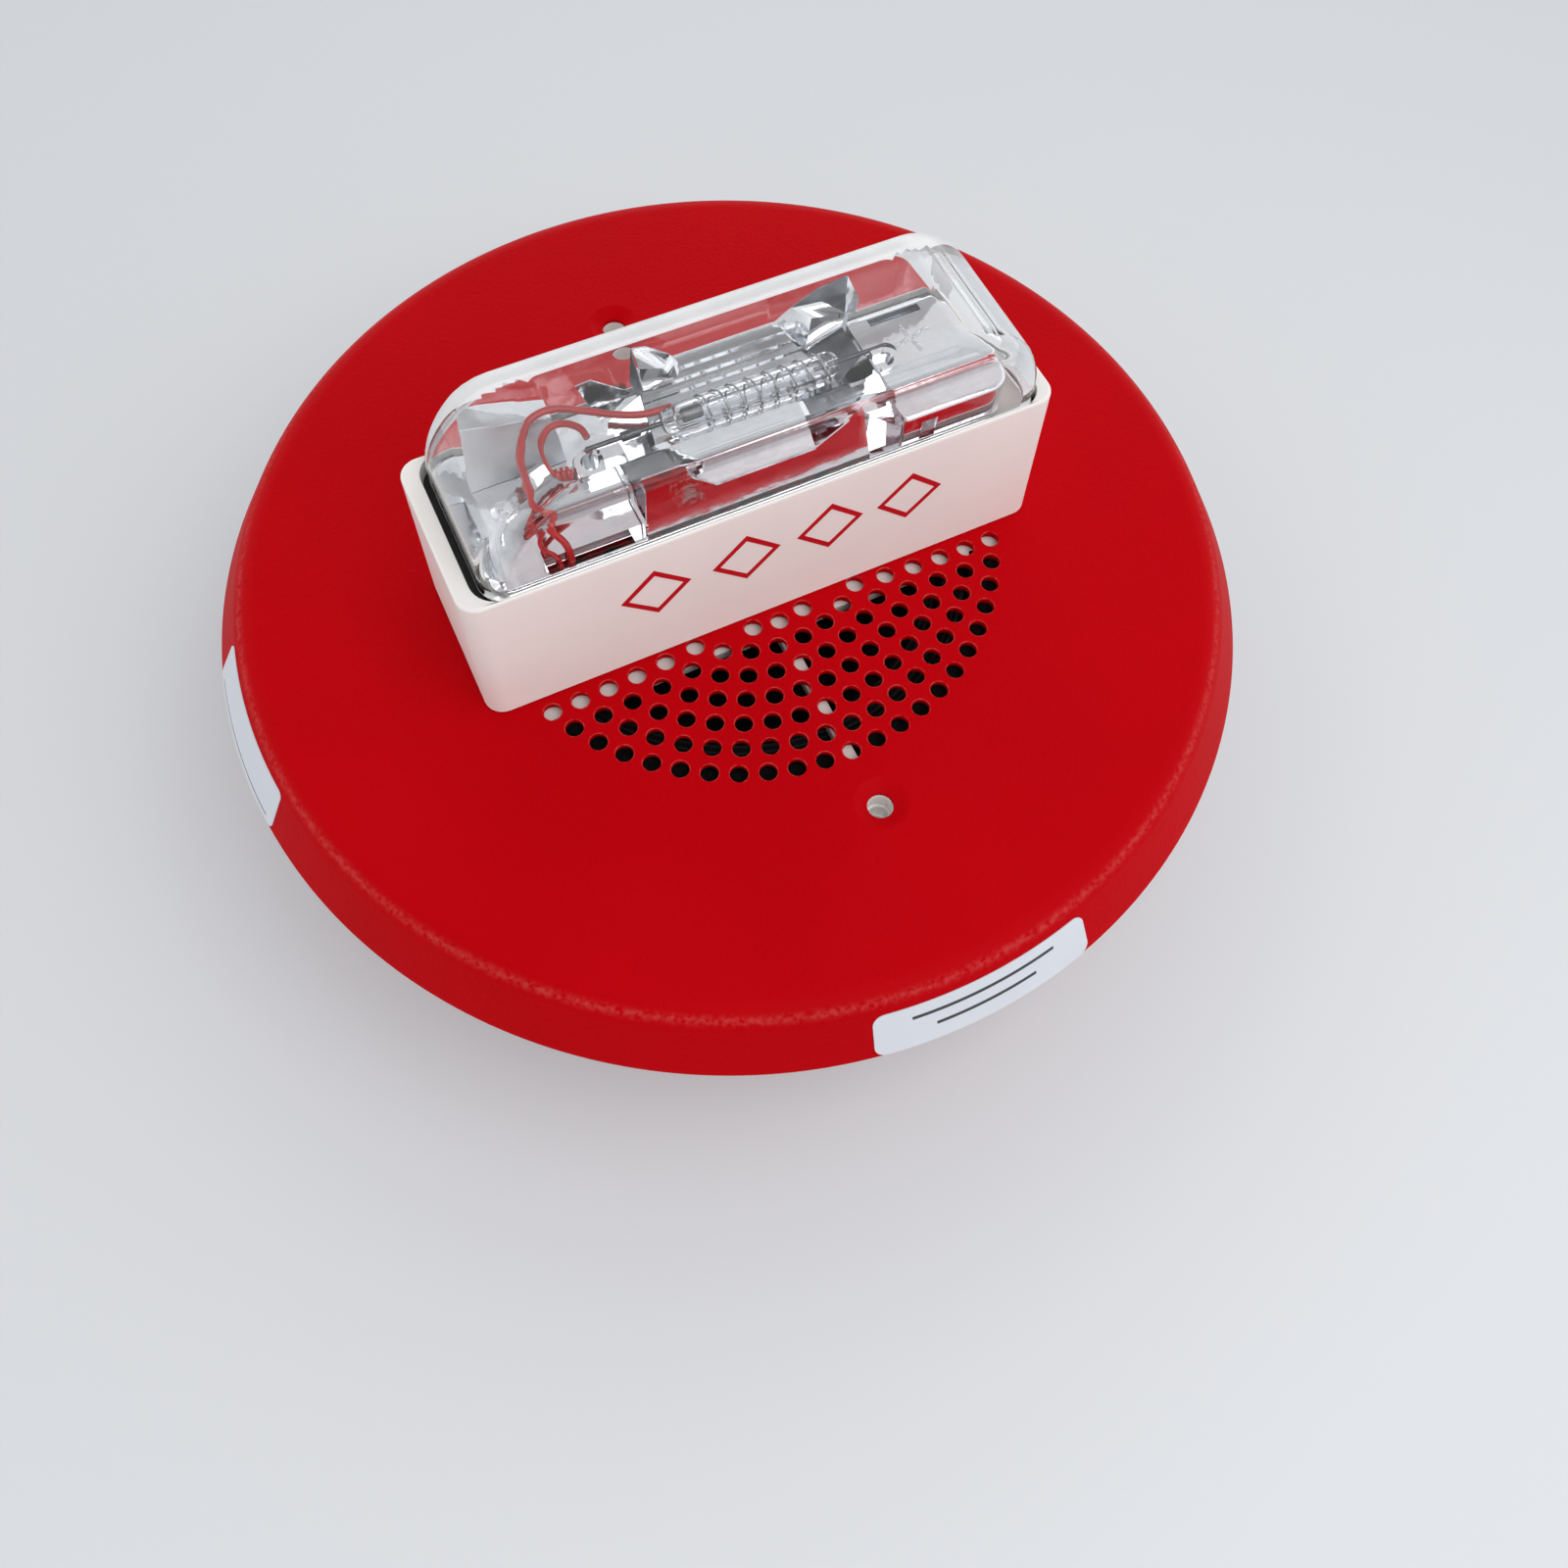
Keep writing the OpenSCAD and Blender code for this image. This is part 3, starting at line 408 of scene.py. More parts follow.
def rim_patch(form, start, sweep, low, high, lift, thick, corner):
    """A strip that follows the slope between two angles, with round corners."""
    steps = 64
    mid_r = 98.0
    length = math.radians(sweep) * mid_r
    loops = []
    for i in range(steps + 1):
        u = 0.5 - 0.5 * math.cos(math.pi * i / steps)
        near = min(u, 1 - u) * length
        cut = corner - math.sqrt(max(0, corner ** 2 - (corner - near) ** 2)) if near < corner else 0
        cut = min(cut, (high - low) / 2 - 0.02)
        near, far, top = low + cut, high - cut, lift + thick
        section = ((near, lift), (far, lift), (far, top), (near, top))
        loops.append([slope_point(start + sweep * u, along, up) for along, up in section])
    form.skin(loops)


stickers = Form()
rim_patch(stickers, 168.4, 20.4, 2.9, 12.9, label_gap, label_t, 1.4)
rim_patch(stickers, 258.8, 24.8, label_from, label_from + label_w, label_gap, label_t, 2.2)
rim_stickers = piece("rim_stickers", stickers, vinyl, sharp=50)
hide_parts("rim_labels")
rules = Form()
rim_patch(rules, 169.8, 17.6, 11.6, 11.85, print_z, print_t, 0.05)
rim_patch(rules, 262.9, 16.5, label_from + 2.4, label_from + 3.1, print_z, print_t, 0.15)
rim_patch(rules, 265.4, 11.5, label_from + 5.4, label_from + 6.1, print_z, print_t, 0.15)
sticker_rules = piece("sticker_rules", rules, label_ink, sharp=50)

# ---- Strobe bezel ----
# The off-white box that carries the strobe, moulded in polycarbonate with drafted walls.
# A recess in its top seats the lens, a window lets the lamp's leads down to the circuit board, and
# four bosses inside take screws from behind the faceplate. The front bears red printed marks.
ledge_z = 43.5
deck_z = 42.0
bezel_foot_z = face_z + 0.1
bezel_x = (-55.0, 55.4)
bezel_y = 16.55
draft_end = 1.3
draft_side = 0.65
bezel_wall = 2.0
lens_x = (-50.7, 52.7)
lens_y = 15.8
lens_corner_r = 4.6
groove_z = deck_z - 1.3


def rounded_loop(x0, x1, y0, y1, z, r_left, r_right=None, steps=8):
    """Rectangle with round corners, the left and right pairs each with a radius of their own."""
    r_right = r_left if r_right is None else r_right
    corners = [(x1, y1, r_right, 0), (x0, y1, r_left, 90), (x0, y0, r_left, 180), (x1, y0, r_right, 270)]
    points = []
    for x, y, r, turned in corners:
        cx = x - r if x == x1 else x + r
        cy = y - r if y == y1 else y + r
        for i in range(steps + 1):
            a = math.radians(turned + 90 * i / steps)
            points.append((cx + r * math.cos(a), cy + r * math.sin(a), z))
    return points


def bezel_loop(inset, z):
    """The box's outline at a height, with its draft, drawn in by an inset."""
    slack = (ledge_z - z) / (ledge_z - face_z)
    dx, dy = draft_end * slack - inset, draft_side * slack - inset
    corner = max(0.8, 3.6 - inset * 0.5)
    return rounded_loop(bezel_x[0] - dx, bezel_x[1] + dx, -bezel_y - dy, bezel_y + dy, z, corner)


def seat_loop(gap, z):
    """The recess round the lens, a little wider at its left end."""
    left, right, side = lens_x[0] - 1.3 - gap, lens_x[1] + 0.35 + gap, lens_y + 0.35 + gap
    return rounded_loop(left, right, -side, side, z, lens_corner_r + gap)


box = Form()
edge_r = 0.55
loops = [bezel_loop(0.25, bezel_foot_z), bezel_loop(0, bezel_foot_z + 0.25)]
loops.append(bezel_loop(0, ledge_z - edge_r - 0.6))
for i in range(5):
    a = math.pi / 2 * i / 4
    loops.append(bezel_loop(edge_r * (1 - math.cos(a)), ledge_z - edge_r + edge_r * math.sin(a)))
loops += [seat_loop(0.14, ledge_z), seat_loop(0.04, ledge_z - 0.04), seat_loop(0, ledge_z - 0.14)]
loops.append(seat_loop(0, groove_z))
loops += [rounded_loop(*lens_x, -lens_y, lens_y, z, lens_corner_r) for z in (groove_z, deck_z)]
window = dict(x0=-45.5, x1=42.5, y0=-12.4, y1=12.4, r_left=2)
loops += [rounded_loop(z=deck_z, **window), rounded_loop(z=deck_z - bezel_wall, **window)]
loops += [bezel_loop(bezel_wall, deck_z - bezel_wall), bezel_loop(bezel_wall, bezel_foot_z)]
box.skin(loops, wrap=True)
boss_top = bezel_foot_z + 14
bore_top = bezel_foot_z + 12
screw_boss = [(3.2, bezel_foot_z), (3.2, boss_top), (0.1, boss_top), (0.1, bore_top), (1.35, bore_top),
              (1.35, bezel_foot_z)]
web = 0.8
for sx in (-1, 1):
    for sy in (-1, 1):
        x, y = sx * bezel_screw_x, sy * bezel_screw_y
        box.lathe(screw_boss, 32, (x, y))
        x_pair, y_pair = sorted((sx * 52.8, sx * 55.1)), sorted((sy * 13.4, sy * 16.1))
        box.block((x_pair[0], y - web, bezel_foot_z), (x_pair[1], y + web, boss_top))
        box.block((x - web, y_pair[0], bezel_foot_z), (x + web, y_pair[1], boss_top))
white_pc = finish("white_polycarbonate", (0.85, 0.82, 0.79), 0.38, drift=0.025, patch=40, depth=0.012)
bezel = piece("white_bezel", box, white_pc, sharp=40)
# the groove round the lens's foot is painted black: a painted shadow for the dark gap between the lens and
# the bezel
groove_shadow_paint = finish("painted_groove_shadow", (0.010, 0.010, 0.010), 0.6, drift=0.2, patch=300, depth=0.05)
bezel.data.materials.append(groove_shadow_paint)
for face in bezel.data.polygons:
    x, y, z = face.center / MM
    in_groove = groove_z - 0.1 < z < deck_z - 0.1 and face.normal.z > -0.1
    in_seat = lens_x[0] - 1.25 < x < lens_x[1] + 0.3 and abs(y) < lens_y + 0.3
    if in_groove and in_seat:
        face.material_index = 1
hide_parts("strobe_bezel")

# open diamonds, pad-printed in red along the front wall
marks = Form()
mark_z = 30.8
mark_half_w = 6.6
mark_half_h = 6.2
mark_t = 0.05
stroke = 1.47
for mark_x in (-22.6, -5.4, 11.0, 27.0):
    loops = []
    for inset, lift in ((0, 0), (0, mark_t), (stroke, mark_t), (stroke, 0)):
        loop = []
        for i in range(4):
            a = math.pi / 2 * i
            x = mark_x + (mark_half_w - inset) * math.cos(a)
            z = mark_z + (mark_half_h - inset) * math.sin(a)
            wall_y = -bezel_y - draft_side * (ledge_z - z) / (ledge_z - face_z)
            loop.append((x, wall_y - 0.01 - lift, z))
        loops.append(loop)
    marks.skin(loops, wrap=True)
mark_ink = finish("red_print", (0.50, 0.006, 0.014), 0.35, drift=0.04, patch=300, grain=0)
printed_marks = piece("printed_marks", marks, mark_ink, sharp=30)

# ---- Lens ----
# The clear cover over the lamp: one thick polycarbonate moulding, quarter round at both ends and
# pressed into the bezel's recess. Its far top edge is painted milky white, a painted highlight for the
# bright band that light through its thick edge makes. The rest is slightly wavy.
lens_top = 60.0
lens_foot_z = 42.15
lens_wall = 2.0
end_r = 16.5
side_r = 4.2


def lens_loop(inset, z):
    """The cover's outline at a height: outside at no inset, inside at the wall's thickness."""
    reach = end_r - inset
    edge = side_r - inset
    up = max(0, z - ledge_z)
    over = max(0, z - (lens_top - inset - edge))
    lean = inset * 0.55 * min(1, up / 14)
    pull_x = reach - math.sqrt(max(0, reach ** 2 - up ** 2)) + lean
    pull_y = edge - math.sqrt(max(0, edge ** 2 - over ** 2)) + lean
    side = lens_y - inset - pull_y
    corner = lens_corner_r - inset
    return rounded_loop(lens_x[0] + inset + pull_x, lens_x[1] - inset - pull_x, -side, side, z, corner)


def lens_levels(inset):
    """Heights that step evenly round the end curve and round the edge along the sides."""
    reach, edge = end_r - inset, side_r - inset
    levels = {ledge_z + reach * math.sin(math.pi / 2 * i / 16) for i in range(17)}
    levels |= {lens_top - inset - edge + edge * math.sin(math.pi / 2 * i / 10) for i in range(11)}
    ordered = sorted(round(level, 3) for level in levels)
    return [z for i, z in enumerate(ordered) if i == 0 or z - ordered[i - 1] > 0.03]


cover = Form()
outer = [lens_loop(0.12, lens_foot_z)] + [lens_loop(0, z) for z in [lens_foot_z + 0.12] + lens_levels(0)]
inner = [lens_loop(lens_wall, z) for z in [lens_foot_z] + lens_levels(lens_wall)]
cover.skin(outer, caps=False)
cover.skin(inner, caps=False)
count = len(outer[0])
margin = 2.0
highlight_band_from = lens_y - side_r - margin
top_inset = rounded_loop(lens_x[0] + end_r + margin, lens_x[1] - end_r - margin, -highlight_band_from, highlight_band_from,
                         lens_top, lens_corner_r - margin)
cover.skin([outer[-1], top_inset], caps=False)
cover.add(top_inset, [tuple(range(count))])
cover.add(inner[-1], [tuple(range(count))])
cover.skin([outer[0], inner[0]], caps=False)


def clear(name, colour, ior, patch, haze, detail=2.0, wave=0.0):
    """A clear solid with a trace of haze in patches, and slow waves in its surface."""
    material, tree, shader = bare_material(name)
    shader.inputs["Base Color"].default_value = (*colour, 1)
    shader.inputs["Transmission Weight"].default_value = 1.0
    shader.inputs["IOR"].default_value = ior
    place = wired(tree, "TexCoord").outputs["Object"]
    clouds = wired(tree, "TexNoise", {"Vector": place, "Scale": patch, "Detail": detail}).outputs[0]
    mist = wired(tree, "MapRange", {"Value": clouds, "To Min": 0.0, "To Max": haze})
    tree.links.new(mist.outputs[0], shader.inputs["Roughness"])
    if wave:
        relief = wired(tree, "Bump", {"Height": clouds, "Distance": wave * MM})
        tree.links.new(relief.outputs[0], shader.inputs["Normal"])
    return material


clear_pc = clear("clear_polycarbonate", (0.985, 0.99, 0.995), 1.5, patch=70, haze=0.02, detail=1, wave=0.03)
lens = piece("clear_lens", cover, clear_pc, sharp=50)
# painted highlight: a milky, partly clear white on the lens's far top edge, for the bright band seen there
lens_highlight_pc = finish("lens_painted_highlight", (0.93, 0.94, 0.95), 0.3, drift=0.05)
lens_highlight_pc.node_tree.nodes["Principled BSDF"].inputs["Transmission Weight"].default_value = 0.33
lens.data.materials.append(lens_highlight_pc)
for face in lens.data.polygons:
    if face.center.y / MM > highlight_band_from and face.normal.z > 0.1:
        face.material_index = 1
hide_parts("strobe_lens")

# ---- Reflector ----
# One metallised plastic moulding under the lens: a floor, a wide trough that throws the flash forward,
# mirror fins at its ends, a raised plate at the right, and a block and a tube holder at the left.
# Two posts below it hold the strobe's circuit board.
reflector_floor_z = 43.1
tube_z = 50.3


def carve(form, cutter):
    """Takes one form out of another and returns what is left."""
    meshes = []
    for source in (form, cutter):
        mesh = bpy.data.meshes.new("carving")
        mesh.from_pydata(source.points, [], source.faces)
        work = bmesh.new()
        work.from_mesh(mesh)
        bmesh.ops.recalc_face_normals(work, faces=work.faces)
        work.to_mesh(mesh)
        work.free()
        meshes.append(mesh)
    blank = bpy.data.objects.new("blank", meshes[0])
    tool = bpy.data.objects.new("tool", meshes[1])
    scene.collection.objects.link(blank)
    scene.collection.objects.link(tool)
    cut = blank.modifiers.new("cut", "BOOLEAN")
    cut.operation = "DIFFERENCE"
    cut.object = tool
    cut.solver = "EXACT"
    carved = blank.evaluated_get(bpy.context.evaluated_depsgraph_get()).to_mesh()
    left = Form()
    left.add([tuple(v.co) for v in carved.vertices], [tuple(f.vertices) for f in carved.polygons])
    bpy.data.objects.remove(blank)
    bpy.data.objects.remove(tool)
    return left


def ribbon(form, rows, thick):
    """A bent sheet across rows of (x_left, x_right, y, z), given thickness along a direction."""
    loops = []
    for x0, x1, y, z in rows:
        loops.append([(x0, y, z), (x1, y, z), (x1 + thick[0], y + thick[1], z + thick[2]),
                      (x0 + thick[0], y + thick[1], z + thick[2])])
    form.skin(loops)


def wall_along(form, path, thick, low, high):
    """An upright wall of even thickness along a path seen from above."""
    loops = []
    for i, (x, y) in enumerate(path):
        ahead = Vector(path[min(i + 1, len(path) - 1)])
        behind = Vector(path[max(i - 1, 0)])
        side = (ahead - behind).normalized().orthogonal() * thick / 2
        loops.append([(x + side.x, y + side.y, low), (x - side.x, y - side.y, low),
                      (x - side.x, y - side.y, high), (x + side.x, y + side.y, high)])
    form.skin(loops)


mirror = Form()
# floor, with the slot at the front that the leads go down through
ground = Form()
ground.skin([rounded_loop(-48.2, 45, -13.6, 13.6, z, 2.4) for z in (42.1, 43.0)]
            + [rounded_loop(-48.1, 44.9, -13.5, 13.5, reflector_floor_z, 2.3)])
slot = Form()
slot.block((-39.3, -13.2, 41), (-24.4, -11.3, 44))
ground = carve(ground, slot)
mirror.add(ground.points, ground.faces)
# left platform, a low arc round the holder and the sloping end flange
mirror.block((-39.5, -11.2, 43.0), (-22.6, -4.4, 45.1))
mirror.block((-31.5, -4.6, 43.0), (-22.6, 2.4, 44.7))
low_arc = [math.radians(a) for a in range(96, 176, 8)]
wall_along(mirror, [(-31 + 12.5 * math.cos(a), -8 + 13.5 * math.sin(a)) for a in low_arc], 0.7, 43.0, 44.3)
wall_along(mirror, [(-44.7, -4.4), (-45.4, -8.0), (-46.6, -12.2)], 0.6, 43.0, 44.2)
mirror.slab([(-48.3, -11.5, 45.3), (-46.2, -11.5, 43.0), (-46.2, 5, 43.0), (-48.3, 5, 45.3)], (0, 0, -0.7))
mirror.lathe([(1.9, 43.0), (1.9, 43.5), (1.5, 43.7), (0.6, 43.7), (0.5, 43.4)], 32, (-41.8, -0.6), wrap=False)
# block behind the platform; its top slopes down to the right
mirror.skin([[(-45.0, 5.2, 43.0), (-28.5, 5.2, 43.0), (-28.5, 13.2, 43.0), (-45.0, 13.2, 43.0)],
             [(-43.2, 8.6, 54.0), (-29.0, 8.6, 50.1), (-28.8, 12.9, 49.9), (-42.2, 12.9, 54.4)]])
# holder with a round hole for the tube's pin, and the fork that the pin lies in
holder = Form()
capsule = dict(x0=-29.2, x1=-20.4, y0=-4.3, y1=1.7)
holder.skin([rounded_loop(z=z, r_left=2.9, r_right=1.6, **capsule) for z in (43.0, 48.4)]
            + [rounded_loop(-28.9, -20.7, -4.0, 1.4, 48.8, 2.6, 1.3)])
bore = Form()
bore.lathe([(1.55, 45.4), (1.55, 50)], 32, (-26.3, -1.2), wrap=False)
holder = carve(holder, bore)
mirror.add(holder.points, holder.faces)
mirror.block((-24.4, -2.9, 48.6), (-20.9, -0.7, 50.2))
mirror.block((-24.4, 0.6, 48.6), (-20.9, 1.5, 50.0))
mirror.block((-22.5, -13.2, 43.0), (-21.9, -4.0, 46.4))
# trough: front wing with a folded lip, stepped rear wing, and the skirts below them
wing = Form()
wing_rows = [(-15.9, 9.7, -2.9, 49.5), (-11.6, 9.1, -8.6, 49.8), (-9.9, 8.3, -12.6, 49.95),
             (-9.8, 8.2, -13, 50.25)]
ribbon(wing, wing_rows, (0, 0, -0.7))
groove = Form()
groove.block((-10.3, -9.05, 48), (5.5, -8.6, 51))
wing = carve(wing, groove)
mirror.add(wing.points, wing.faces)
ribbon(mirror, [(-15.9, 9.7, -2.9, 49.45), (-15.9, 9.7, -2.5, 47.0), (-16, 18, -1.5, 46.8)], (0, 0, -0.6))
rear = [(-1.5, 46.8)]
for step in range(7):
    y = 0.3 + 1.6 * step
    rise = 46.7 + 3.5 * (step / 6) ** 1.7
    rear += [(y, rise), (y + 1.35, rise + 0.12 + 0.06 * step)]
rear.append((12.0, 50.7))
ribbon(mirror, [(-14.5 + 0.15 * y, 19 - 0.5 * max(0, y), y, z) for y, z in rear], (0, 0, -0.6))
mirror.block((-13, 11.6, 43.0), (13, 12.2, 50.6))
mirror.block((13, 11.6, 43.0), (27.5, 12.2, 48.6))
front_rows = [(43.2, -13.72, -22.3, 18.6), (44.4, -13.45, -22.3, 18.5), (45.8, -13.12, -22.2, 18.3),
              (47.6, -12.88, -22.1, 18.0), (50.35, -12.75, -21.9, 17.4)]
ribbon(mirror, [(x0, x1, y, z) for z, y, x0, x1 in front_rows], (0, 0.5, 0))
ribbon(mirror, [(-21.9, -9.9, -12.75, 50.3), (-21.6, -15.3, -12.55, 55.0)], (0, 0.5, 0))
ribbon(mirror, [(8.3, 17.4, -12.75, 50.3), (16.0, 16.7, -12.55, 55.0)], (0, 0.3, 0))
# mirror fins: each is a few flat facets, given as corner points; the shaded ones are painted dark, a painted
# reflection of dark surroundings
fins = [
    [(-9.9, -12.6, 50.2), (-16.2, -2.7, 49.3), (-11.3, -8.6, 49.6)],
    [(9.1, -8.6, 49.75), (9.8, -2.9, 49.5), (10.6, -2.9, 49.1), (10.2, -9.4, 49.4)],
    [(12.3, 11.4, 50.9), (15.9, 11.3, 53.3), (19.0, 9.6, 51.3), (17.2, 7.5, 46.8)],
    [(15.9, 11.3, 53.3), (21.5, 10.6, 53.2), (25.4, 9.2, 50.4), (19.0, 9.6, 51.3)],
    [(19.0, 9.6, 51.3), (25.4, 9.2, 50.4), (24.2, 8, 49.1), (17.2, 7.5, 46.8)],
    [(26.4, 11.2, 56.4), (29.2, 11.2, 50.3), (27.6, 9.4, 49.4), (25.4, 9.2, 50.4)],
    [(17.8, -12.4, 43.6), (20.6, -8, 48.1), (23.2, -9.6, 46.8), (22.0, -12.7, 44.0)],
    [(20.6, -8, 48.1), (27.4, -10, 46.1), (26.4, -11.4, 45.2), (23.2, -9.6, 46.8)],
    [(20.6, -8, 48.1), (24.6, -3.0, 49.4), (27.0, -9.0, 48.0), (27.4, -10, 46.1)],
    [(-13.1, 11.2, 56.2), (-10.6, 11.2, 55.6), (-6.6, 11.1, 52.3), (-8.6, 9.9, 51.2), (-12.6, 10.0, 52.6)],
    [(-12.6, 10.0, 52.6), (-8.6, 9.9, 51.2), (-6.3, 8, 48.4), (-12.9, 8.2, 49.5)],
    [(-6.6, 11.1, 52.3), (-4.9, 10.4, 49.6), (-6.6, 6.3, 46.9), (-6.3, 8, 48.4), (-8.6, 9.9, 51.2)],
    [(-6.3, 8, 48.4), (-6.6, 6.3, 46.9), (-13.3, 7.8, 46.8), (-12.9, 8.2, 49.5)],
    [(-24.1, 8.8, 54.8), (-21.4, 8.8, 55.0), (-15.0, 8.4, 49.9), (-20.8, 8, 45.4)],
    [(-22.4, 2.2, 45.0), (-20.4, 5.6, 48.2), (-13.6, 8, 49.0), (-14.4, 2.0, 46.9)],
]
# painted reflection: these facets get the dark metal, standing in for the dark surroundings they would mirror
shaded_fins = [
    [(15.9, 11.3, 53.3), (20.6, 11.2, 55.6), (26.4, 11.2, 56.4), (25.4, 9.2, 50.4), (21.5, 10.6, 53.2)],
    [(17.4, 7.3, 46.9), (24.2, 7.8, 49.0), (24.6, 1.0, 48.6), (19.2, -1.2, 47.0)],
    [(10.7, -2.9, 49.1), (10.3, -9.4, 49.3), (16.3, -12.0, 53.6), (19.6, -7.6, 48.6), (18.4, -1.4, 47.4)],
    [(-13.4, 11.2, 56.2), (-13.1, 8.2, 49.4), (-13.3, 7.8, 46.8), (-14.4, 10.4, 50.2)],
    [(-21.7, -11.9, 47.4), (-12.6, -11.9, 48.6), (-16.6, -2.8, 48.7), (-21.7, -3.4, 46.9)],
]
fin_t = 0.3
shaded = Form()
# painted shadow: dark blocks in the bottom of the front groove and of the right plate's back slot
shaded.block((-10.2, -9.1, 49.0), (5.4, -8.55, 49.6))
shaded.block((28.6, 5.4, 47.4), (38.3, 6.8, 47.8))
for form, outlines in ((mirror, fins), (shaded, shaded_fins)):
    for corners in outlines:
        first, second, last = Vector(corners[0]), Vector(corners[1]), Vector(corners[-1])
        form.slab(corners, (second - first).cross(last - first).normalized() * fin_t)
# painted shade: dark stepped strips in the hollow between the front wing and the left ear
for step in range(7):
    x = -21.2 + 1.25 * step
    shaded.block((x, -11.6 + 0.25 * step, 46.9 + 0.12 * step), (x + 0.5, -4.2, 48.0 + 0.12 * step))
# right plate: rounded edges, back slot, arched notch at the front and a moulded cross
plate_z = 49.5
cap = Form()
levels = [rounded_loop(24.8, 46.2, -13.2, 8.0, 43.0, 0.8, 4.6)]
for i in range(9):
    a = math.pi / 2 * i / 8
    below, inward = 0.9 * (1 - math.sin(a)), 1 - math.cos(a)
    x1, y0, y1 = 46.2 - 0.9 * inward, -13.2 + 0.8 * inward, 8.0 - 0.8 * inward
    levels.append(rounded_loop(24.8, x1, y0, y1, plate_z - below, 0.8, 4.6))
cap.skin(levels)
notch = Form()
notch.block((28.4, -14, 42.5), (31.4, -10.9, 47.2))
notch.block((28.5, 5.3, 47.6), (38.4, 6.9, 50.5))
cap = carve(cap, notch)
mirror.add(cap.points, cap.faces)
for angle, reach in ((12, 3.9), (102, 3.0)):
    aim = Vector((math.cos(math.radians(angle)), math.sin(math.radians(angle))))
    for near, far in ((0.5, 0.55 * reach), (0.62 * reach, reach)):
        for side in (-1, 1):
            ends = [(33.6 + side * aim.x * d, 0.3 + side * aim.y * d) for d in (near, far)]
            wall_along(mirror, ends, 0.55, plate_z - 0.05, plate_z + 0.35)
# horseshoe clip that holds the tube's right pin
shoe = [(25.0, -1.3), (26.6, -1.3)]
shoe_bend = [math.pi * i / 12 for i in range(13)]
shoe += [(26.8 + 1.9 * math.sin(a), -3.2 + 1.9 * math.cos(a)) for a in shoe_bend]
shoe.append((25.0, -5.1))
wall_along(mirror, shoe, 1.1, 48.6, 51.0)
mirror.block((25.0, -4.6, 48.6), (27.0, -1.8, 49.9))
for x in (-36, 36):
    mirror.lathe([(3, 29.7), (3, 42.2), (1.25, 42.2), (1.25, 29.7)], 32, (x, 0))
metallised = finish("metallised_plastic", (0.79, 0.805, 0.83), 0.09, metal=1.0, drift=0.03, patch=160,
                    grain=420, depth=0.05)
reflector = piece("mirror_reflector", mirror, metallised, sharp=24, bevel=0.1)
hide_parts("reflector")
# the block's front face is satin and painted a darker grey, and the shaded faces are painted dark: painted
# reflections of the dim surroundings they mirror
dark_painted_metal = finish("painted_dark_reflection", (0.20, 0.21, 0.235), 0.14, metal=1.0, drift=0.35, patch=260,
                    grain=500, depth=0.05, spread=0.1)
# partly painted shade: the block's front face is rougher satin metal, and its darker grey is painted shade
# for the dim reflection
satin_shaded_metal = finish("satin_shaded_metallising", (0.66, 0.67, 0.69), 0.42, metal=1.0, drift=0.06, depth=0.03)
block_front = Form()
front_corners = [(-44.9, 5.15, 43.2), (-28.6, 5.15, 43.2), (-29.1, 8.5, 50.0), (-43.2, 8.5, 53.8)]
block_front.slab(front_corners, (0, -0.12, 0.05))
block_face = piece("satin_shaded_block_face", block_front, satin_shaded_metal, sharp=24, bevel=0.04)
shaded_faces = piece("shaded_reflector_faces", shaded, dark_painted_metal, sharp=24, bevel=0.08)

# ---- Flash tube, trigger wire and leads ----
# A xenon tube of clear glass with a dark electrode in each end, lying in the reflector's trough.
# Bare trigger wire is wound round the glass. Red silicone-sleeved leads run from its ends, in loose
# loops, down through the slot in the reflector's floor.


def through(points, steps=8):
    """A smooth line through given points."""
    p = [Vector(q) for q in points]
    line = []
    for i in range(len(p) - 1):
        a, b, c, d = p[max(i - 1, 0)], p[i], p[i + 1], p[min(i + 2, len(p) - 1)]
        for s in range(steps):
            t = s / steps
            line.append(0.5 * (2 * b + (c - a) * t + (2 * a - 5 * b + 4 * c - d) * t ** 2
                               + (3 * b - a - 3 * c + d) * t ** 3))
    return line + [p[-1]]


def cable(form, line, r, sides=12):
    """A round tube swept along a line, without twist."""
    side = Vector((0, 0, 1)).cross(line[1] - line[0])
    side = side.normalized() if side.length > 1e-4 else Vector((1, 0, 0))
    angles = [2 * math.pi * k / sides for k in range(sides)]
    loops = []
    for i, p in enumerate(line):
        ahead = (line[min(i + 1, len(line) - 1)] - line[max(i - 1, 0)]).normalized()
        side = (side - ahead * side.dot(ahead)).normalized()
        up = ahead.cross(side)
        loops.append([p + r * (math.cos(a) * side + math.sin(a) * up) for a in angles])
    form.skin(loops)


def turned(form, profile, y=0.0, z=tube_z, steps=24, wrap=False):
    """A profile of (radius, x) turned round the tube's axis."""
    angles = [2 * math.pi * k / steps for k in range(steps)]
    form.skin([[(x, y + r * math.cos(a), z + r * math.sin(a)) for a in angles] for r, x in profile], wrap)


quartz = clear("quartz_glass", (0.97, 0.98, 1.0), 1.46, patch=400, haze=0.08)
glass = Form()
tube_profile = [(0.45, -13), (1.4, -13), (1.9, -12.6), (2.2, -11.8), (2.2, 17.8), (1.9, 18.6), (1.4, 19),
                (0.45, 19), (0.45, 17), (1.2, 16.8), (1.6, 16.2), (1.6, -10.2), (1.2, -10.8), (0.45, -11)]
turned(glass, tube_profile, steps=40, wrap=True)
flash_tube = piece("xenon_tube", glass, quartz, sharp=50)
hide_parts("flash_tube")

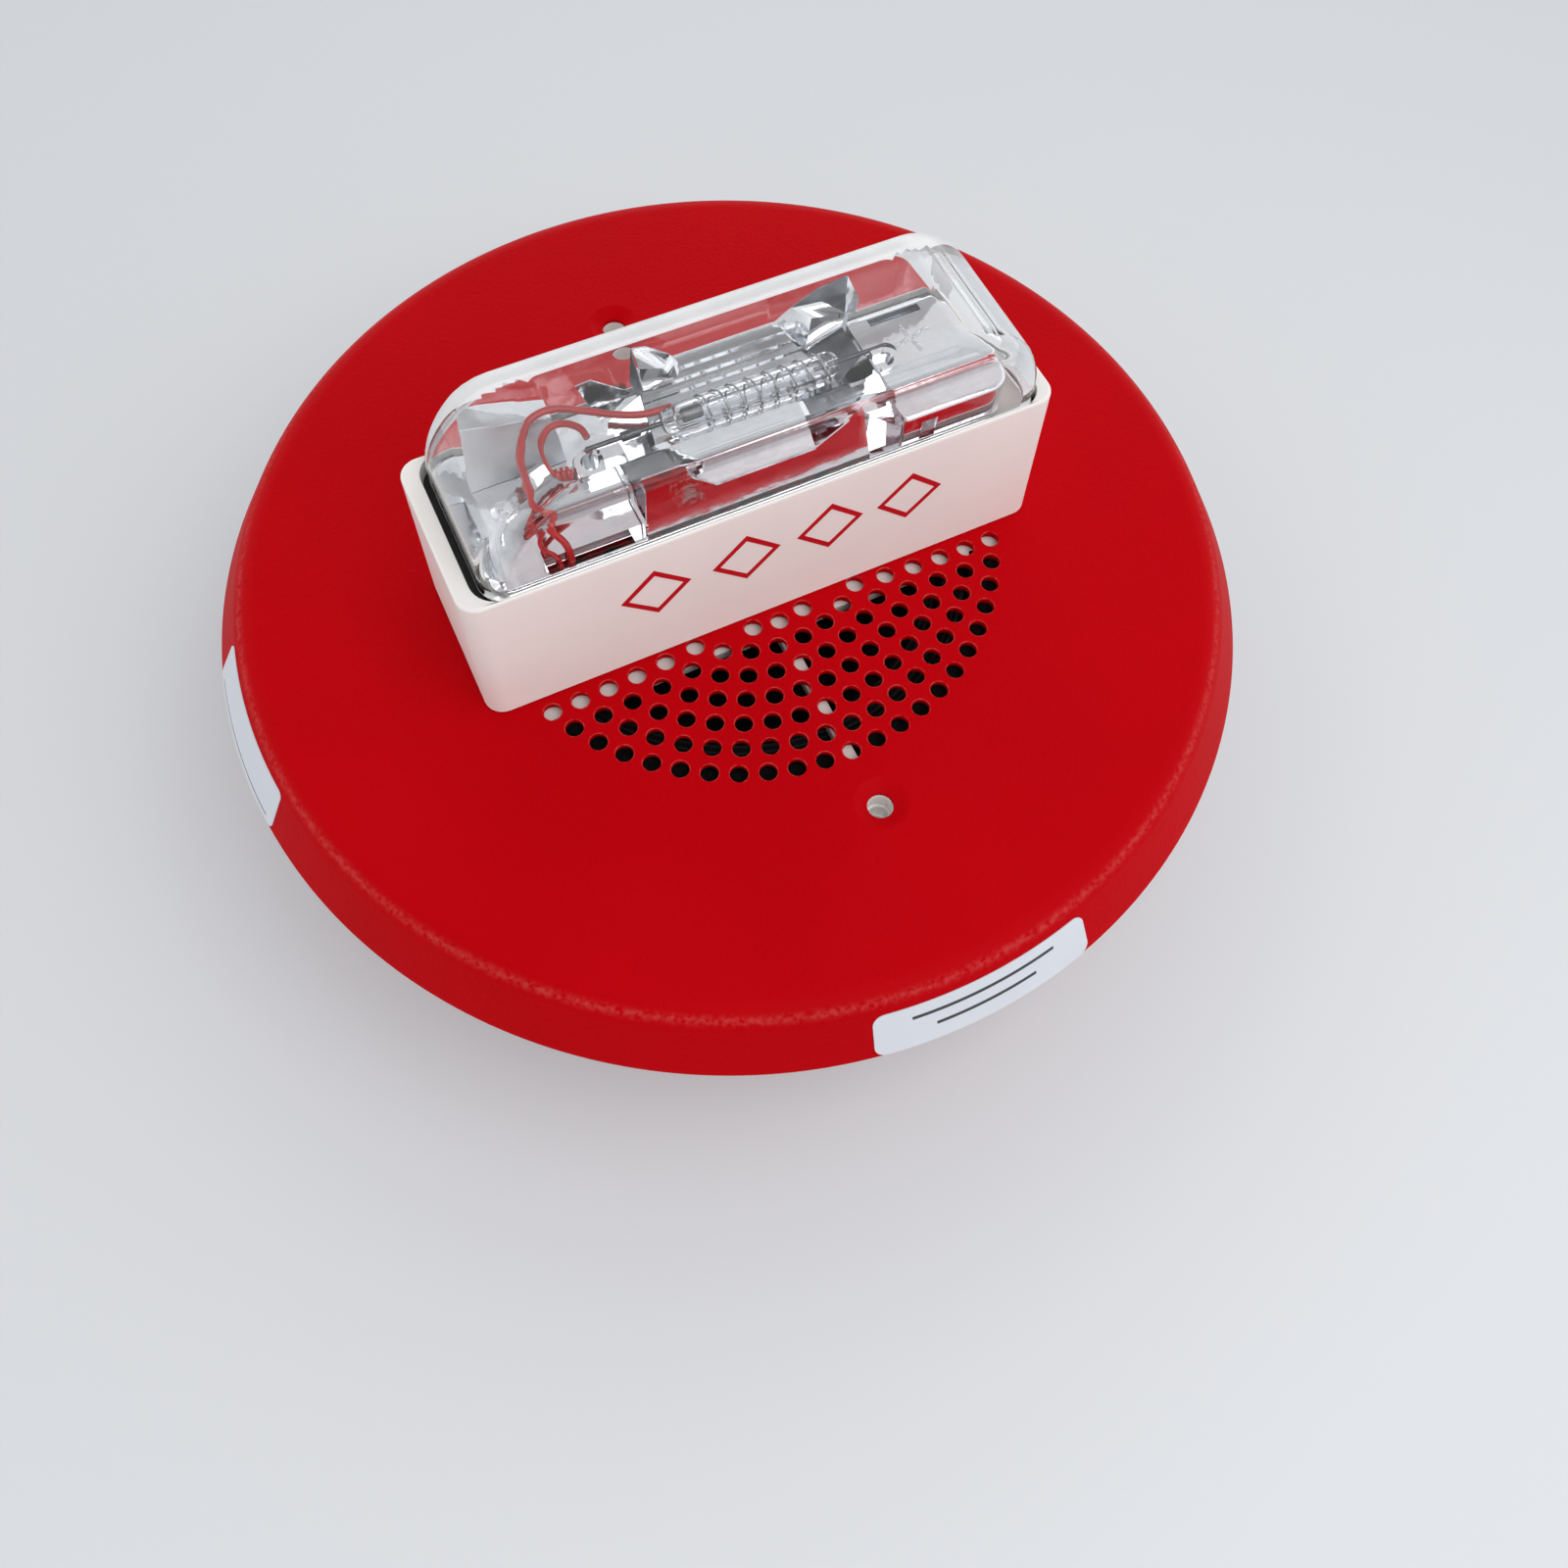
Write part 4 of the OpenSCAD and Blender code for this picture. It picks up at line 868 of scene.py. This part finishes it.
tungsten = finish("tungsten", (0.10, 0.10, 0.11), 0.35, metal=1.0, drift=0.3, patch=900, grain=2500)
pins = Form()
turned(pins, [(0.38, -26.4), (0.4, -26.3), (0.4, -9.7), (0.9, -9.6), (1.2, -9.3), (1.2, -6.4), (1.0, -6.0)])
turned(pins, [(0.35, 14.8), (0.4, 15.0), (0.4, 27.6)])
turned(pins, [(0.75, -20.2), (0.8, -20.0), (0.8, -17.2), (0.75, -17.0)])
hook = [(27.5, 0, tube_z), (28.6, -0.1, tube_z), (29.3, -1.2, tube_z), (28.9, -2.6, tube_z - 0.2),
        (28.0, -3.2, tube_z - 0.6), (27.4, -3.2, tube_z - 1.2)]
cable(pins, through(hook), 0.4)
electrodes = piece("dark_electrodes", pins, tungsten, sharp=40)
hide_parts("tube_electrodes")

wound = Form()
trigger_turns = 8
trigger_r = 2.42
trigger_x = -6.5
trigger_length = 24.5
spiral = []
for i in range(trigger_turns * 24 + 1):
    turns = i / 24
    a = 2 * math.pi * turns
    wobble = 0.25 * math.sin(5.1 * turns) + 0.12 * math.sin(11.7 * turns)
    x = trigger_x + trigger_length * turns / trigger_turns + wobble
    spiral.append(Vector((x, trigger_r * math.cos(a), tube_z + trigger_r * math.sin(a))))
cable(wound, spiral, 0.2, 6)
trigger_tail = [(-6.6, 2.3, tube_z + 0.7), (-9.5, 2.1, tube_z + 0.9), (-12.5, 1.5, tube_z + 0.3),
                (-15.5, 0.6, tube_z - 1.6), (-17.2, 0.2, tube_z - 3.1)]
cable(wound, through(trigger_tail), 0.15, 6)
bare_wire = finish("nickel_wire", (0.40, 0.40, 0.41), 0.25, metal=1.0, drift=0.08, patch=500, grain=0)
trigger_wire = piece("trigger_winding", wound, bare_wire, sharp=60)
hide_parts("trigger_wire")

sleeve = finish("red_silicone", (0.62, 0.012, 0.012), 0.3, drift=0.12, patch=250, depth=0.02)
sleeve.node_tree.nodes["Principled BSDF"].inputs["Coat Weight"].default_value = 0.3
sleeved = Form()
long_lead = [(-10.6, 1.6, 51.4), (-15.2, 1.9, 51.5), (-19.4, 3.5, 51.7), (-24.3, 6.0, 52.3),
             (-28.5, 7.7, 52.9), (-32.3, 7.4, 52.9), (-35.0, 5.2, 52.4), (-37.0, 1.0, 51.8),
             (-37.5, -2.5, 51.0), (-38.1, -6.0, 50.0), (-36.9, -9.4, 49.4), (-35.7, -11.3, 48.0),
             (-35.3, -12.1, 46.2), (-35.2, -12.2, 43.2), (-35.4, -11.6, 39), (-36.2, -9, 33), (-36.5, -8, 30)]
short_lead = [(-25.3, 1.9, 50.6), (-25.8, 4.0, 51.0), (-27.8, 6.0, 50.9), (-30.5, 6.1, 50.7),
              (-32.7, 3.6, 50.2), (-33.2, 0.7, 49.4), (-32.0, -0.9, 48.3), (-29.5, -1.0, 47.6)]
thin_lead = [(-29.3, -3.4, 46.6), (-32.6, -4.0, 46.5), (-36.0, -5.4, 46.6), (-38.6, -7.6, 46.7),
             (-39.0, -9.8, 46.4), (-37.6, -11.6, 45.6), (-37.0, -12.2, 43.2), (-36.6, -11.6, 39),
             (-34.5, -9, 34), (-32, -8, 30)]
for route, r in ((long_lead, 0.62), (short_lead, 0.6), (thin_lead, 0.42)):
    cable(sleeved, through(route), r)
# three moulded rings hold the short lead's end to the holder
for x, r in ((-30.1, 0.98), (-31.0, 0.98), (-31.9, 0.95)):
    bead = [(0.5, x - 0.3), (r, x - 0.2), (r, x + 0.2), (0.5, x + 0.3)]
    turned(sleeved, bead, y=-1.0, z=47.9 + (-30.1 - x) * 0.2)
red_leads = piece("red_tube_leads", sleeved, sleeve, sharp=50)
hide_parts("tube_leads")

# ---- Strobe circuit board ----
# A glass-fibre board held under the reflector on its two posts by two screws. The lamp's electronics
# hang from its lower side: a large flash capacitor, a trigger coil, a drum inductor and small parts.
board_z = 28.0
board_t = 1.6


def kept(node, material, slot, bevel, sharp=32):
    """Dresses a node in its own shape: joined points, clean flat faces and small rounded edges."""
    obj = nodes[node]
    obj.data.materials.clear()
    obj.data.materials.append(material)
    if "custom_normal" in obj.data.attributes:
        obj.data.attributes.remove(obj.data.attributes["custom_normal"])
    obj.data.polygons.foreach_set("use_smooth", [True] * len(obj.data.polygons))
    joined = obj.modifiers.new("joined", "WELD")
    joined.merge_threshold = 0.003 * MM
    flat = obj.modifiers.new("flat", "DECIMATE")
    flat.decimate_type = "DISSOLVE"
    flat.angle_limit = math.radians(0.8)
    round_edges(obj, bevel, sharp)
    obj.modifiers.new("even", "WEIGHTED_NORMAL")


# green lacquer over copper: paler tracks that run along X in some patches and along Y in the others
green_board = finish("green_board", (0.012, 0.10, 0.045), 0.3, drift=0.15, patch=120, grain=2500)
green_tree = green_board.node_tree
board_place = wired(green_tree, "TexCoord").outputs["Object"]
tracks = []
for way in ("X", "Y"):
    bands = wired(green_tree, "TexWave", {"Vector": board_place, "Scale": 95}, bands_direction=way)
    crests = wired(green_tree, "Math", {0: bands.outputs[1], 1: 0.72}, operation="GREATER_THAN")
    tracks.append(crests.outputs[0])
patches = wired(green_tree, "TexVoronoi", {"Vector": board_place, "Scale": 110}).outputs["Color"]
share = wired(green_tree, "Math", {0: patches, 1: 0.5}, operation="GREATER_THAN").outputs[0]
track = wired(green_tree, "Mix", {"Factor": share, "A": tracks[0], "B": tracks[1]}).outputs["Result"]
lacquer = {"Factor": track, "A": green_tree.nodes["tone"].outputs[0], "B": (0.035, 0.19, 0.085, 1)}
lacquered = wired(green_tree, "Mix", lacquer, data_type="RGBA").outputs["Result"]
green_tree.links.new(lacquered, green_tree.nodes["Principled BSDF"].inputs["Base Color"])

zinc = finish("zinc_plate", (0.60, 0.61, 0.62), 0.32, metal=1.0, patch=350, grain=1200, depth=0.012)
black_sleeve = finish("black_sleeve", (0.012, 0.012, 0.016), 0.32, drift=0.2)
coil_wrap = finish("coil_wrap", (0.62, 0.53, 0.34), 0.5, drift=0.12, patch=250, depth=0.03)
ferrite = finish("ferrite", (0.045, 0.045, 0.05), 0.55, drift=0.2, patch=180, grain=1100, depth=0.04)
moulded_black = finish("moulded_black", (0.018, 0.018, 0.02), 0.42, drift=0.12, patch=150, grain=1300,
                       depth=0.02)
kept("strobe_board", green_board, "circuit_board", 0.1)
kept("reflector_screws", zinc, "zinc_screws", 0.12)
kept("flash_capacitor", black_sleeve, "black_sleeve", 0.6)
kept("trigger_coil", coil_wrap, "coil_plastic", 0.2)
kept("boost_inductor", ferrite, "ferrite", 0.25)
kept("strobe_board_parts", moulded_black, "black_plastic", 0.2)

# ---- Mounting bridge and bezel screws ----
# A white moulded bar behind the faceplate. The strobe's four countersunk screws pass through it and
# the faceplate into the bezel; a thin rib with a boss at each end takes the two fixing screws.
white_abs = finish("white_abs", (0.87, 0.86, 0.83), 0.45, drift=0.03, patch=40, grain=1200, depth=0.02)
kept("mounting_bridge", white_abs, "white_plastic", 0.25)
kept("bezel_screws", zinc, "zinc_screws", 0.1)

# ---- Grille gasket ----
# A flat ring of soft black foam, cut in four arcs that leave out the mounting bridge. It is glued behind
# the sound holes, where the driver's flange presses on it.
foam = finish("black_foam", (0.006, 0.006, 0.006), 0.95, drift=0.5, patch=900, grain=1400, depth=0.35,
              shine=0.05)
gasket_inner_r, gasket_outer_r = 46.2, 53.0
gasket_low, gasket_mid, gasket_high = 5.35, 7.3, 9.25
gasket_bulge = 0.2
gasket_sweep = 63.0
gasket_section = [(gasket_inner_r, gasket_low), (gasket_outer_r, gasket_low),
                  (gasket_outer_r + gasket_bulge, gasket_mid), (gasket_outer_r, gasket_high),
                  (gasket_inner_r, gasket_high), (gasket_inner_r - gasket_bulge, gasket_mid)]
arcs = Form()
for start in (25.2, 91.8, 205.2, 271.8):
    loops = []
    for i in range(41):
        a = math.radians(start + gasket_sweep * i / 40)
        loops.append([(r * math.cos(a), r * math.sin(a), z) for r, z in gasket_section])
    arcs.skin(loops)
gasket = piece("foam_gasket", arcs, foam, sharp=50, bevel=0.3)
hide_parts("grille_gasket")

# ---- Driver basket ----
# The driver's frame, pressed from sheet steel and blackened: a flange with four ears for its screws,
# four windows between the spokes, and a shelf for the centring disc.
blackened = finish("blackened_steel", (0.035, 0.036, 0.038), 0.4, metal=0.6, drift=0.25, depth=0.015)
kept("driver_basket", blackened, "zinc_steel", 0.2)
kept("driver_screws", zinc, "zinc_screws", 0.12)

# ---- Cone and its surround ----
# A black paper cone with fine rings pressed in it and a domed paper cap. A pleated cloth edge joins it
# to the flange, and carries it as it moves in and out.
cone_paper = finish("cone_paper", (0.006, 0.006, 0.007), 0.8, drift=0.3, patch=500, grain=2200, depth=0.06,
                    shine=0.08)
cone_cloth = finish("doped_cloth", (0.006, 0.006, 0.006), 0.6, drift=0.3, patch=600, grain=3500, depth=0.05)
cone_foot_r, cone_foot_z = 10.1, -8.2
dome_r, dome_z = 16.2, -18.4


def thin_sheet(profile, thick, steps):
    """A thin sheet turned round the driver's axis, from its lower side's profile of (radius, z)."""
    form = Form()
    form.lathe(profile + [(r, z + thick) for r, z in reversed(profile)], steps)
    return form


wall = []
for i in range(57):
    t = i / 56
    pressed = 0.10 * math.sin(18 * math.pi * t) if t < 0.8 else 0
    wall.append((cone_foot_r + 28 * t, cone_foot_z + 11.2 * t ** 1.15 + pressed))
cone = piece("paper_cone", thin_sheet(wall, 0.45, 144), cone_paper, body="cone_assembly", sharp=60)
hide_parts("driver_cone")
domed = [math.radians(90 - 3 * i) for i in range(15)]
dome = [(0.02, dome_z + dome_r)] + [(dome_r * math.cos(a), dome_z + dome_r * math.sin(a)) for a in domed[1:]]
dome.append((11.5, -6.45))
cap_piece = piece("domed_cap", thin_sheet(dome, 0.4, 96), cone_paper, body="cone_assembly", sharp=60)
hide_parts("dust_cap")
pleat = [(38.2 + 7 * i / 60, 3.2 + 2.1 * i / 60 + 0.7 * math.sin(5 * math.pi * i / 60)) for i in range(61)]
surround = piece("pleated_edge", thin_sheet(pleat, 0.35, 144), cone_cloth, body=None, sharp=70)
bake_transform(surround)
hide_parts("cone_surround")

# ---- Coil and centring disc ----
# The coil is wound on a thin amber former glued to the cone's neck. A corrugated cloth disc, stiff
# with resin, keeps it centred in the magnet's gap.
amber_film = finish("amber_film", (0.42, 0.22, 0.05), 0.3, patch=300)
copper = finish("enamelled_copper", (0.75, 0.30, 0.12), 0.28, metal=1.0, patch=500, grain=1500)
resin_cloth = finish("resin_cloth", (0.42, 0.24, 0.06), 0.7, drift=0.15, patch=300, grain=4000, depth=0.08)
kept("coil_former", amber_film, "coil_former", 0.03, 60)
turns_high = 17
wire_r = 0.17
coil_low, coil_high = -20.95, -15.05
coil_side = [(9.96, coil_low)]
for i in range(turns_high):
    z = coil_low + (coil_high - coil_low) * (i + 0.5) / turns_high
    for a in (-80, -40, 0, 40, 80):
        coil_side.append((10.02 + wire_r * math.cos(math.radians(a)), z + wire_r * math.sin(math.radians(a))))
coil_side.append((9.96, coil_high))
winding = Form()
winding.lathe(coil_side, 96)
coil = piece("copper_coil", winding, copper, body="cone_assembly", sharp=60)
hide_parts("voice_coil")
disc_inner_z, disc_outer_z = -12.4, -9.95
waves = []
for i in range(121):
    t = i / 120
    corrugation = 0.7 * math.sin(10 * math.pi * t)
    waves.append((10.3 + 17.8 * t, disc_inner_z + (disc_outer_z - disc_inner_z) * t + corrugation))
waves.append((31, disc_outer_z))
spider = piece("centring_disc", thin_sheet(waves, 0.32, 120), resin_cloth, body=None, sharp=70)
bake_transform(spider)
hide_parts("spider")

# ---- Magnet and poles ----
# A ring of hard ferrite clamped between a steel front plate and a steel yoke. The yoke's pole stands
# inside the coil; it is drilled from behind for the screw that holds the rear carrier.
ceramic = finish("ceramic_magnet", (0.050, 0.050, 0.055), 0.62, drift=0.25, patch=260, grain=700, depth=0.07)
kept("front_plate", zinc, "zinc_steel", 0.25)
kept("pole_yoke", zinc, "zinc_steel", 0.3)
kept("ring_magnet", ceramic, "ferrite", 0.6)

# ---- Driver terminals ----
# A strip of tag board riveted to one spoke, with two tinned lugs. Soft braided leads run from the
# lugs, in through the windows beside the spoke, to the underside of the cone.
tag_board = finish("tag_board", (0.20, 0.10, 0.035), 0.6, drift=0.15, patch=300, grain=1600, depth=0.03)
tinned = finish("tinned_brass", (0.78, 0.76, 0.70), 0.25, metal=1.0, drift=0.08, patch=400, grain=1000)
braid = finish("tinsel_braid", (0.66, 0.52, 0.34), 0.4, metal=0.8, drift=0.25, patch=2500, grain=5000,
               depth=0.05)
strip_turn = math.radians(135)


def spun(points, angle):
    """Turns points about the device's axis."""
    c, s = math.cos(angle), math.sin(angle)
    return [(x * c - y * s, x * s + y * c, z) for x, y, z in points]


strip = Form()
strip.block((45.4, -5.5, -3.8), (46.6, 5.5, 3.8))
strip.points = spun(strip.points, strip_turn)
tag_strip = piece("tag_strip", strip, tag_board, bevel=0.2)
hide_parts("driver_terminals")
lugs = Form()
eighths = [math.pi * k / 8 for k in range(16)]
tenths = [math.pi * k / 10 for k in range(20)]
rivet = ((46.5, 1.1), (46.85, 1.0), (47.1, 0.6))
tinning = ((0.8, -2.86), (0.75, -2.6), (0.35, -2.3))
for y in (-3.2, 3.2):
    lugs.block((46.5, y - 1.0, -3.35), (48.0, y + 1.0, -2.85))
    lugs.skin([[(48.0 + 0.9 * math.sin(a), y + math.cos(a), z) for a in eighths[:9]] for z in (-3.35, -2.85)])
    lugs.skin([[(x, y + r * math.cos(a), r * math.sin(a)) for a in eighths] for x, r in rivet])
    lugs.skin([[(47.4 + r * math.cos(a), y + r * math.sin(a), z) for a in tenths] for r, z in tinning])
lugs.points = spun(lugs.points, strip_turn)
tag_lugs = piece("tag_lugs", lugs, tinned, bevel=0.08)
for name, s in (("tinsel_lead_a", -1), ("tinsel_lead_b", 1)):
    soft = Form()
    way = [(46.9, s * 4.2, -3.1), (46.2, s * 6.6, -3.6), (45.0, s * 9.4, -4.0), (41.6, s * 13, -4.7),
           (36, s * 12.6, -5.0), (30.6, s * 7.4, -4.2), (27, s * 2.8, -2.8)]
    cable(soft, through(spun(way, strip_turn), 10), 0.38, 8)
    tinsel = piece(name, soft, braid, body=None, sharp=70)
    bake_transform(tinsel)
    if name == "tinsel_lead_a":
        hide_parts("tinsel_leads")

# ---- Rear carrier ----
# A black moulded plate that the magnet's yoke carries, held by one screw through its middle. A low
# lip centres it, and four bosses stand the terminal board off it.
kept("rear_saddle", moulded_black, "black_plastic", 0.3)
kept("saddle_screw", zinc, "zinc_screws", 0.15)

# ---- Terminal board ----
# The board for the field wiring, on the carrier's bosses. Solder joints stand under the terminals,
# switches and wires; white printed outlines and small ticks mark the switches, with no wording.
rear_board_z = -42.6
kept("terminal_board", green_board, "circuit_board", 0.1)
kept("board_screws", zinc, "zinc_screws", 0.12)
solder = finish("solder", (0.70, 0.70, 0.69), 0.22, metal=1.0, drift=0.08, patch=700, grain=0)
joints = Form()
block_poles = 6
pole_pitch = 8.2
switch_pitch = 2.5
solder_at = [(-37.5, (i - (block_poles - 1) / 2) * pole_pitch) for i in range(block_poles)]
for x_pair, low, pins in (((-26.2, -21.8), -20.8, 4), ((-26.2, -21.8), 3.2, 5), ((-12.3, -16.7), 9.2, 2)):
    solder_at += [(x, low + switch_pitch * i) for x in x_pair for i in range(pins)]
board_top = rear_board_z + board_t
drop = [(1.0, board_top + 0.02), (0.85, board_top + 0.2), (0.4, board_top + 0.75), (0.1, board_top + 0.9)]
for place in solder_at:
    joints.lathe(drop, 16, place, wrap=False)
board_joints = piece("solder_joints", joints, solder, sharp=60)
legend = Form()
line = 0.25


def printed_bar(x0, x1, y0, y1):
    """One printed line on the board's outer face."""
    legend.block((x0, y0, rear_board_z - 0.035), (x1, y1, rear_board_z - 0.005))


for x0, x1, y0, y1 in ((-27.6, -20.4, -25.6, -9.5), (-27.6, -20.4, -1.6, 17.6), (-18.1, -10.9, 4.4, 16.5),
                       (-19.0, -10.0, -20.0, -6.5)):
    printed_bar(x0, x1, y0, y0 + line)
    printed_bar(x0, x1, y1 - line, y1)
    printed_bar(x0, x0 + line, y0, y1)
    printed_bar(x1 - line, x1, y0, y1)
for start, stops, x in ((-22, 4, -19.6), (2, 5, -19.6), (8, 2, -10.2)):
    for stop in range(stops):
        y = start + 1.2 + switch_pitch * stop
        printed_bar(x, x + 1.2, y - 0.12, y + 0.12)
board_legend = piece("board_legend", legend, vinyl, sharp=60)

# ---- Terminal block ----
# Six green moulded poles side by side. Each has a round mouth for its wire on the outer side and a
# screw, reached from behind, that drives a clamp down on it.
terminal_green = finish("terminal_green", (0.012, 0.17, 0.06), 0.38, drift=0.06, patch=120, grain=1100,
                        depth=0.02)
kept("terminal_block", terminal_green, "terminal_green", 0.25)
kept("terminal_screws", zinc, "zinc_screws", 0.12)

# ---- Selector switches ----
# Three slide switches on the board: light output, loudness tap and line voltage. Each has a black
# body with an open track; its knob slides along the track between the stops.
slider_white = finish("slider_white", (0.80, 0.80, 0.78), 0.35, drift=0.03, grain=1500, depth=0.015)
slider_red = finish("slider_red", (0.50, 0.012, 0.014), 0.35, drift=0.05, grain=1500, depth=0.015)
for switch in ("candela_switch", "tap_switch", "voltage_switch"):
    kept(switch, moulded_black, "black_plastic", 0.18)


def knob(name, slider, x, y, material):
    """A finger knob with a stem in the track and three grip ridges across its top."""
    form = Form()
    top = rear_board_z - 6.8

    def oblong(half_w, low, high, z):
        return [(x - half_w, low, z), (x + half_w, low, z), (x + half_w, high, z), (x - half_w, high, z)]

    stem = ((1.15, rear_board_z - 1.15), (1.15, rear_board_z - 4.8), (1.05, top + 0.35))
    form.skin([oblong(half_w, y + 0.05, y + 2.35, z) for half_w, z in stem])
    for ridge in range(3):
        low = y + 0.28 + 0.68 * ridge
        form.skin([oblong(1.05, low, low + 0.5, top + 0.4), oblong(0.95, low + 0.12, low + 0.38, top + 0.02)])
    finger = piece(name, form, material, body=slider, bevel=0.07)
    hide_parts(slider)


knob("candela_knob", "candela_slider", -24, -22, slider_white)
knob("tap_knob", "tap_slider", -24, 2, slider_white)
knob("voltage_knob", "voltage_slider", -14.5, 8, slider_red)

# ---- Line transformer ----
# A stack of thin steel sheets with the coil wound on its middle leg. The coil is wrapped in yellow
# tape; a pressed steel frame straddles the stack and is screwed to the carrier by its ears.
transformer_x = 25
lamination = finish("lamination_steel", (0.30, 0.28, 0.26), 0.45, metal=0.85, drift=0.3, patch=300,
                    depth=0.02)
tape = finish("winding_tape", (0.78, 0.60, 0.07), 0.35, drift=0.06, grain=700, depth=0.02)
sheets = Form()
sheet_count = 22
stack_z, stack_h = -51.95, 11.9
for i in range(sheet_count):
    low = stack_z + stack_h * i / sheet_count
    high = low + stack_h / sheet_count - 0.09
    shift = 0.09 * math.sin(7.3 * i)
    way = 1 if i % 2 else -1
    x0, x1 = transformer_x - 13 + 0.09 + shift, transformer_x + 13 - 0.09 + shift
    legs = [(x0, x0 + 3.3), (transformer_x - 4.45, transformer_x + 4.45), (x1 - 3.3, x1)]
    for a, b in legs:
        sheets.block((a, -10.9, low), (b, 10.9, high))
    sheets.block((x0, way * 13.45 - 2.5, low), (x1, way * 13.45 + 2.5, high))
    sheets.block((x0, -way * 13.45 - 2.45, low), (x1, -way * 13.45 + 2.45, high))
for end in (-1, 1):
    for a, b in ((-12.6, -9.9), (-4.2, 4.2), (9.9, 12.6)):
        y_pair = sorted((end * 10.5, end * 11.4))
        sheets.block((transformer_x + a, y_pair[0], -51.9), (transformer_x + b, y_pair[1], -40.1))
core = piece("core_sheets", sheets, lamination, sharp=40)
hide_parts("transformer_core")

bobbin = Form()
coil_z = (-55.9, -36.9)


def bobbin_loop(y, grow, r):
    """A round-cornered loop round the middle leg, at a place along Y."""
    flat = rounded_loop(transformer_x - 8.6 - grow, transformer_x + 8.6 + grow, coil_z[0] + 0.7 - grow,
                        coil_z[1] - 1.3 + grow, 0, r)
    return [(x, y, z) for x, z, _ in flat]


wrap_rows = [(-9.6, 0.0)]
for i in range(9):
    y = -9.4 + 18.8 * i / 8
    wrap_rows.append((y - 0.5 if i else y, 0.04 * math.sin(3.1 * i)))
    wrap_rows.append((y + 0.4 if i < 8 else y, 0.10 + 0.04 * math.sin(2.3 * i)))
wrap_rows.append((9.6, 0.0))
bobbin.skin([bobbin_loop(y, grow, 3.4) for y, grow in wrap_rows])
taped = piece("taped_winding", bobbin, tape, sharp=45)
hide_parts("transformer_winding")
cheeks = Form()
for end in (-1, 1):
    y_pair = sorted((end * 9.62, end * 10.62))
    cheek = rounded_loop(transformer_x - 9.15, transformer_x + 9.15, coil_z[0], coil_z[1] - 0.45, 0, 0.8)
    cheeks.skin([[(x, y, z) for x, z, _ in cheek] for y in y_pair])
bobbin_cheeks = piece("bobbin_cheeks", cheeks, moulded_black, bevel=0.15)
kept("transformer_bracket", zinc, "zinc_steel", 0.2)
kept("transformer_screws", zinc, "zinc_screws", 0.12)

# ---- Wiring ----
# Stranded wires in plain coloured sleeves: blue from the transformer and black from the driver to the
# terminal board, and a red pair from it, up through a slot beside the driver, to the strobe's board.
blue_sleeve = finish("blue_sleeve", (0.02, 0.07, 0.38), 0.35, grain=1200)
wire_black = finish("wire_black", (0.014, 0.014, 0.015), 0.35, grain=1200)
wire_red = finish("wire_red", (0.50, 0.010, 0.012), 0.35, grain=1200)
wire_z = -38.6
solder_z = rear_board_z + board_t + 0.15


def wires(name, node, material, ways, r=0.55):
    """One sleeved wire along each way, its tinned end let into the solder."""
    form = Form()
    for way in ways:
        cable(form, through(way, 8), r, 12)
    laid = piece(name, form, material, sharp=60)
    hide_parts(node)


wires("blue_wires", "transformer_leads", blue_sleeve, [
    [(15.4, y * 0.8, wire_z + 0.2), (11, y, wire_z), (4, y, wire_z - 0.6), (-2, y * 0.95, wire_z - 0.4),
     (-6.2, y * 0.9, wire_z - 0.6), (-9.1, y * 0.9, wire_z - 1.2), (-9.5, y * 0.9, solder_z)]
    for y in (-8.5, -5.5, 5.5, 8.5)])
wires("black_wires", "driver_leads", wire_black, [
    [(-32.2 - 4.4 * i, 36.6 - 4.4 * i, -3.3), (-33.6 - 4.4 * i, 38 - 4.4 * i, -6),
     (-36 - 3 * i, 38 - 2 * i, -14), (-39 - 1.6 * i, 37 - 1.6 * i, -26), (-40 - 1.6 * i, 34.5 - 0.6 * i, -35),
     (-39 - 2 * i, 30.5, wire_z - 0.2), (-37.4 - 2 * i, 27.4, -39.6), (-37 - 2 * i, 27, solder_z)]
    for i in (0, 1)])
wires("red_wires", "strobe_harness", wire_red, [
    [(-39, y, solder_z), (-39.6, y, -39.4), (-42, y, wire_z - 0.4), (-47.5, y, wire_z), (-51, y, -32),
     (-53.6, y, -18), (-54.2, y, -4), (-53.2, y, 4), (-52.8, y, 9), (-52.5, y, 15), (-51.2, y, 22),
     (-48, y * 1.3, 25.6), (-46.2, y * 1.6, 27.0), (-46, y * 1.6, board_z - 0.1)] for y in (-1.2, 1.2)])
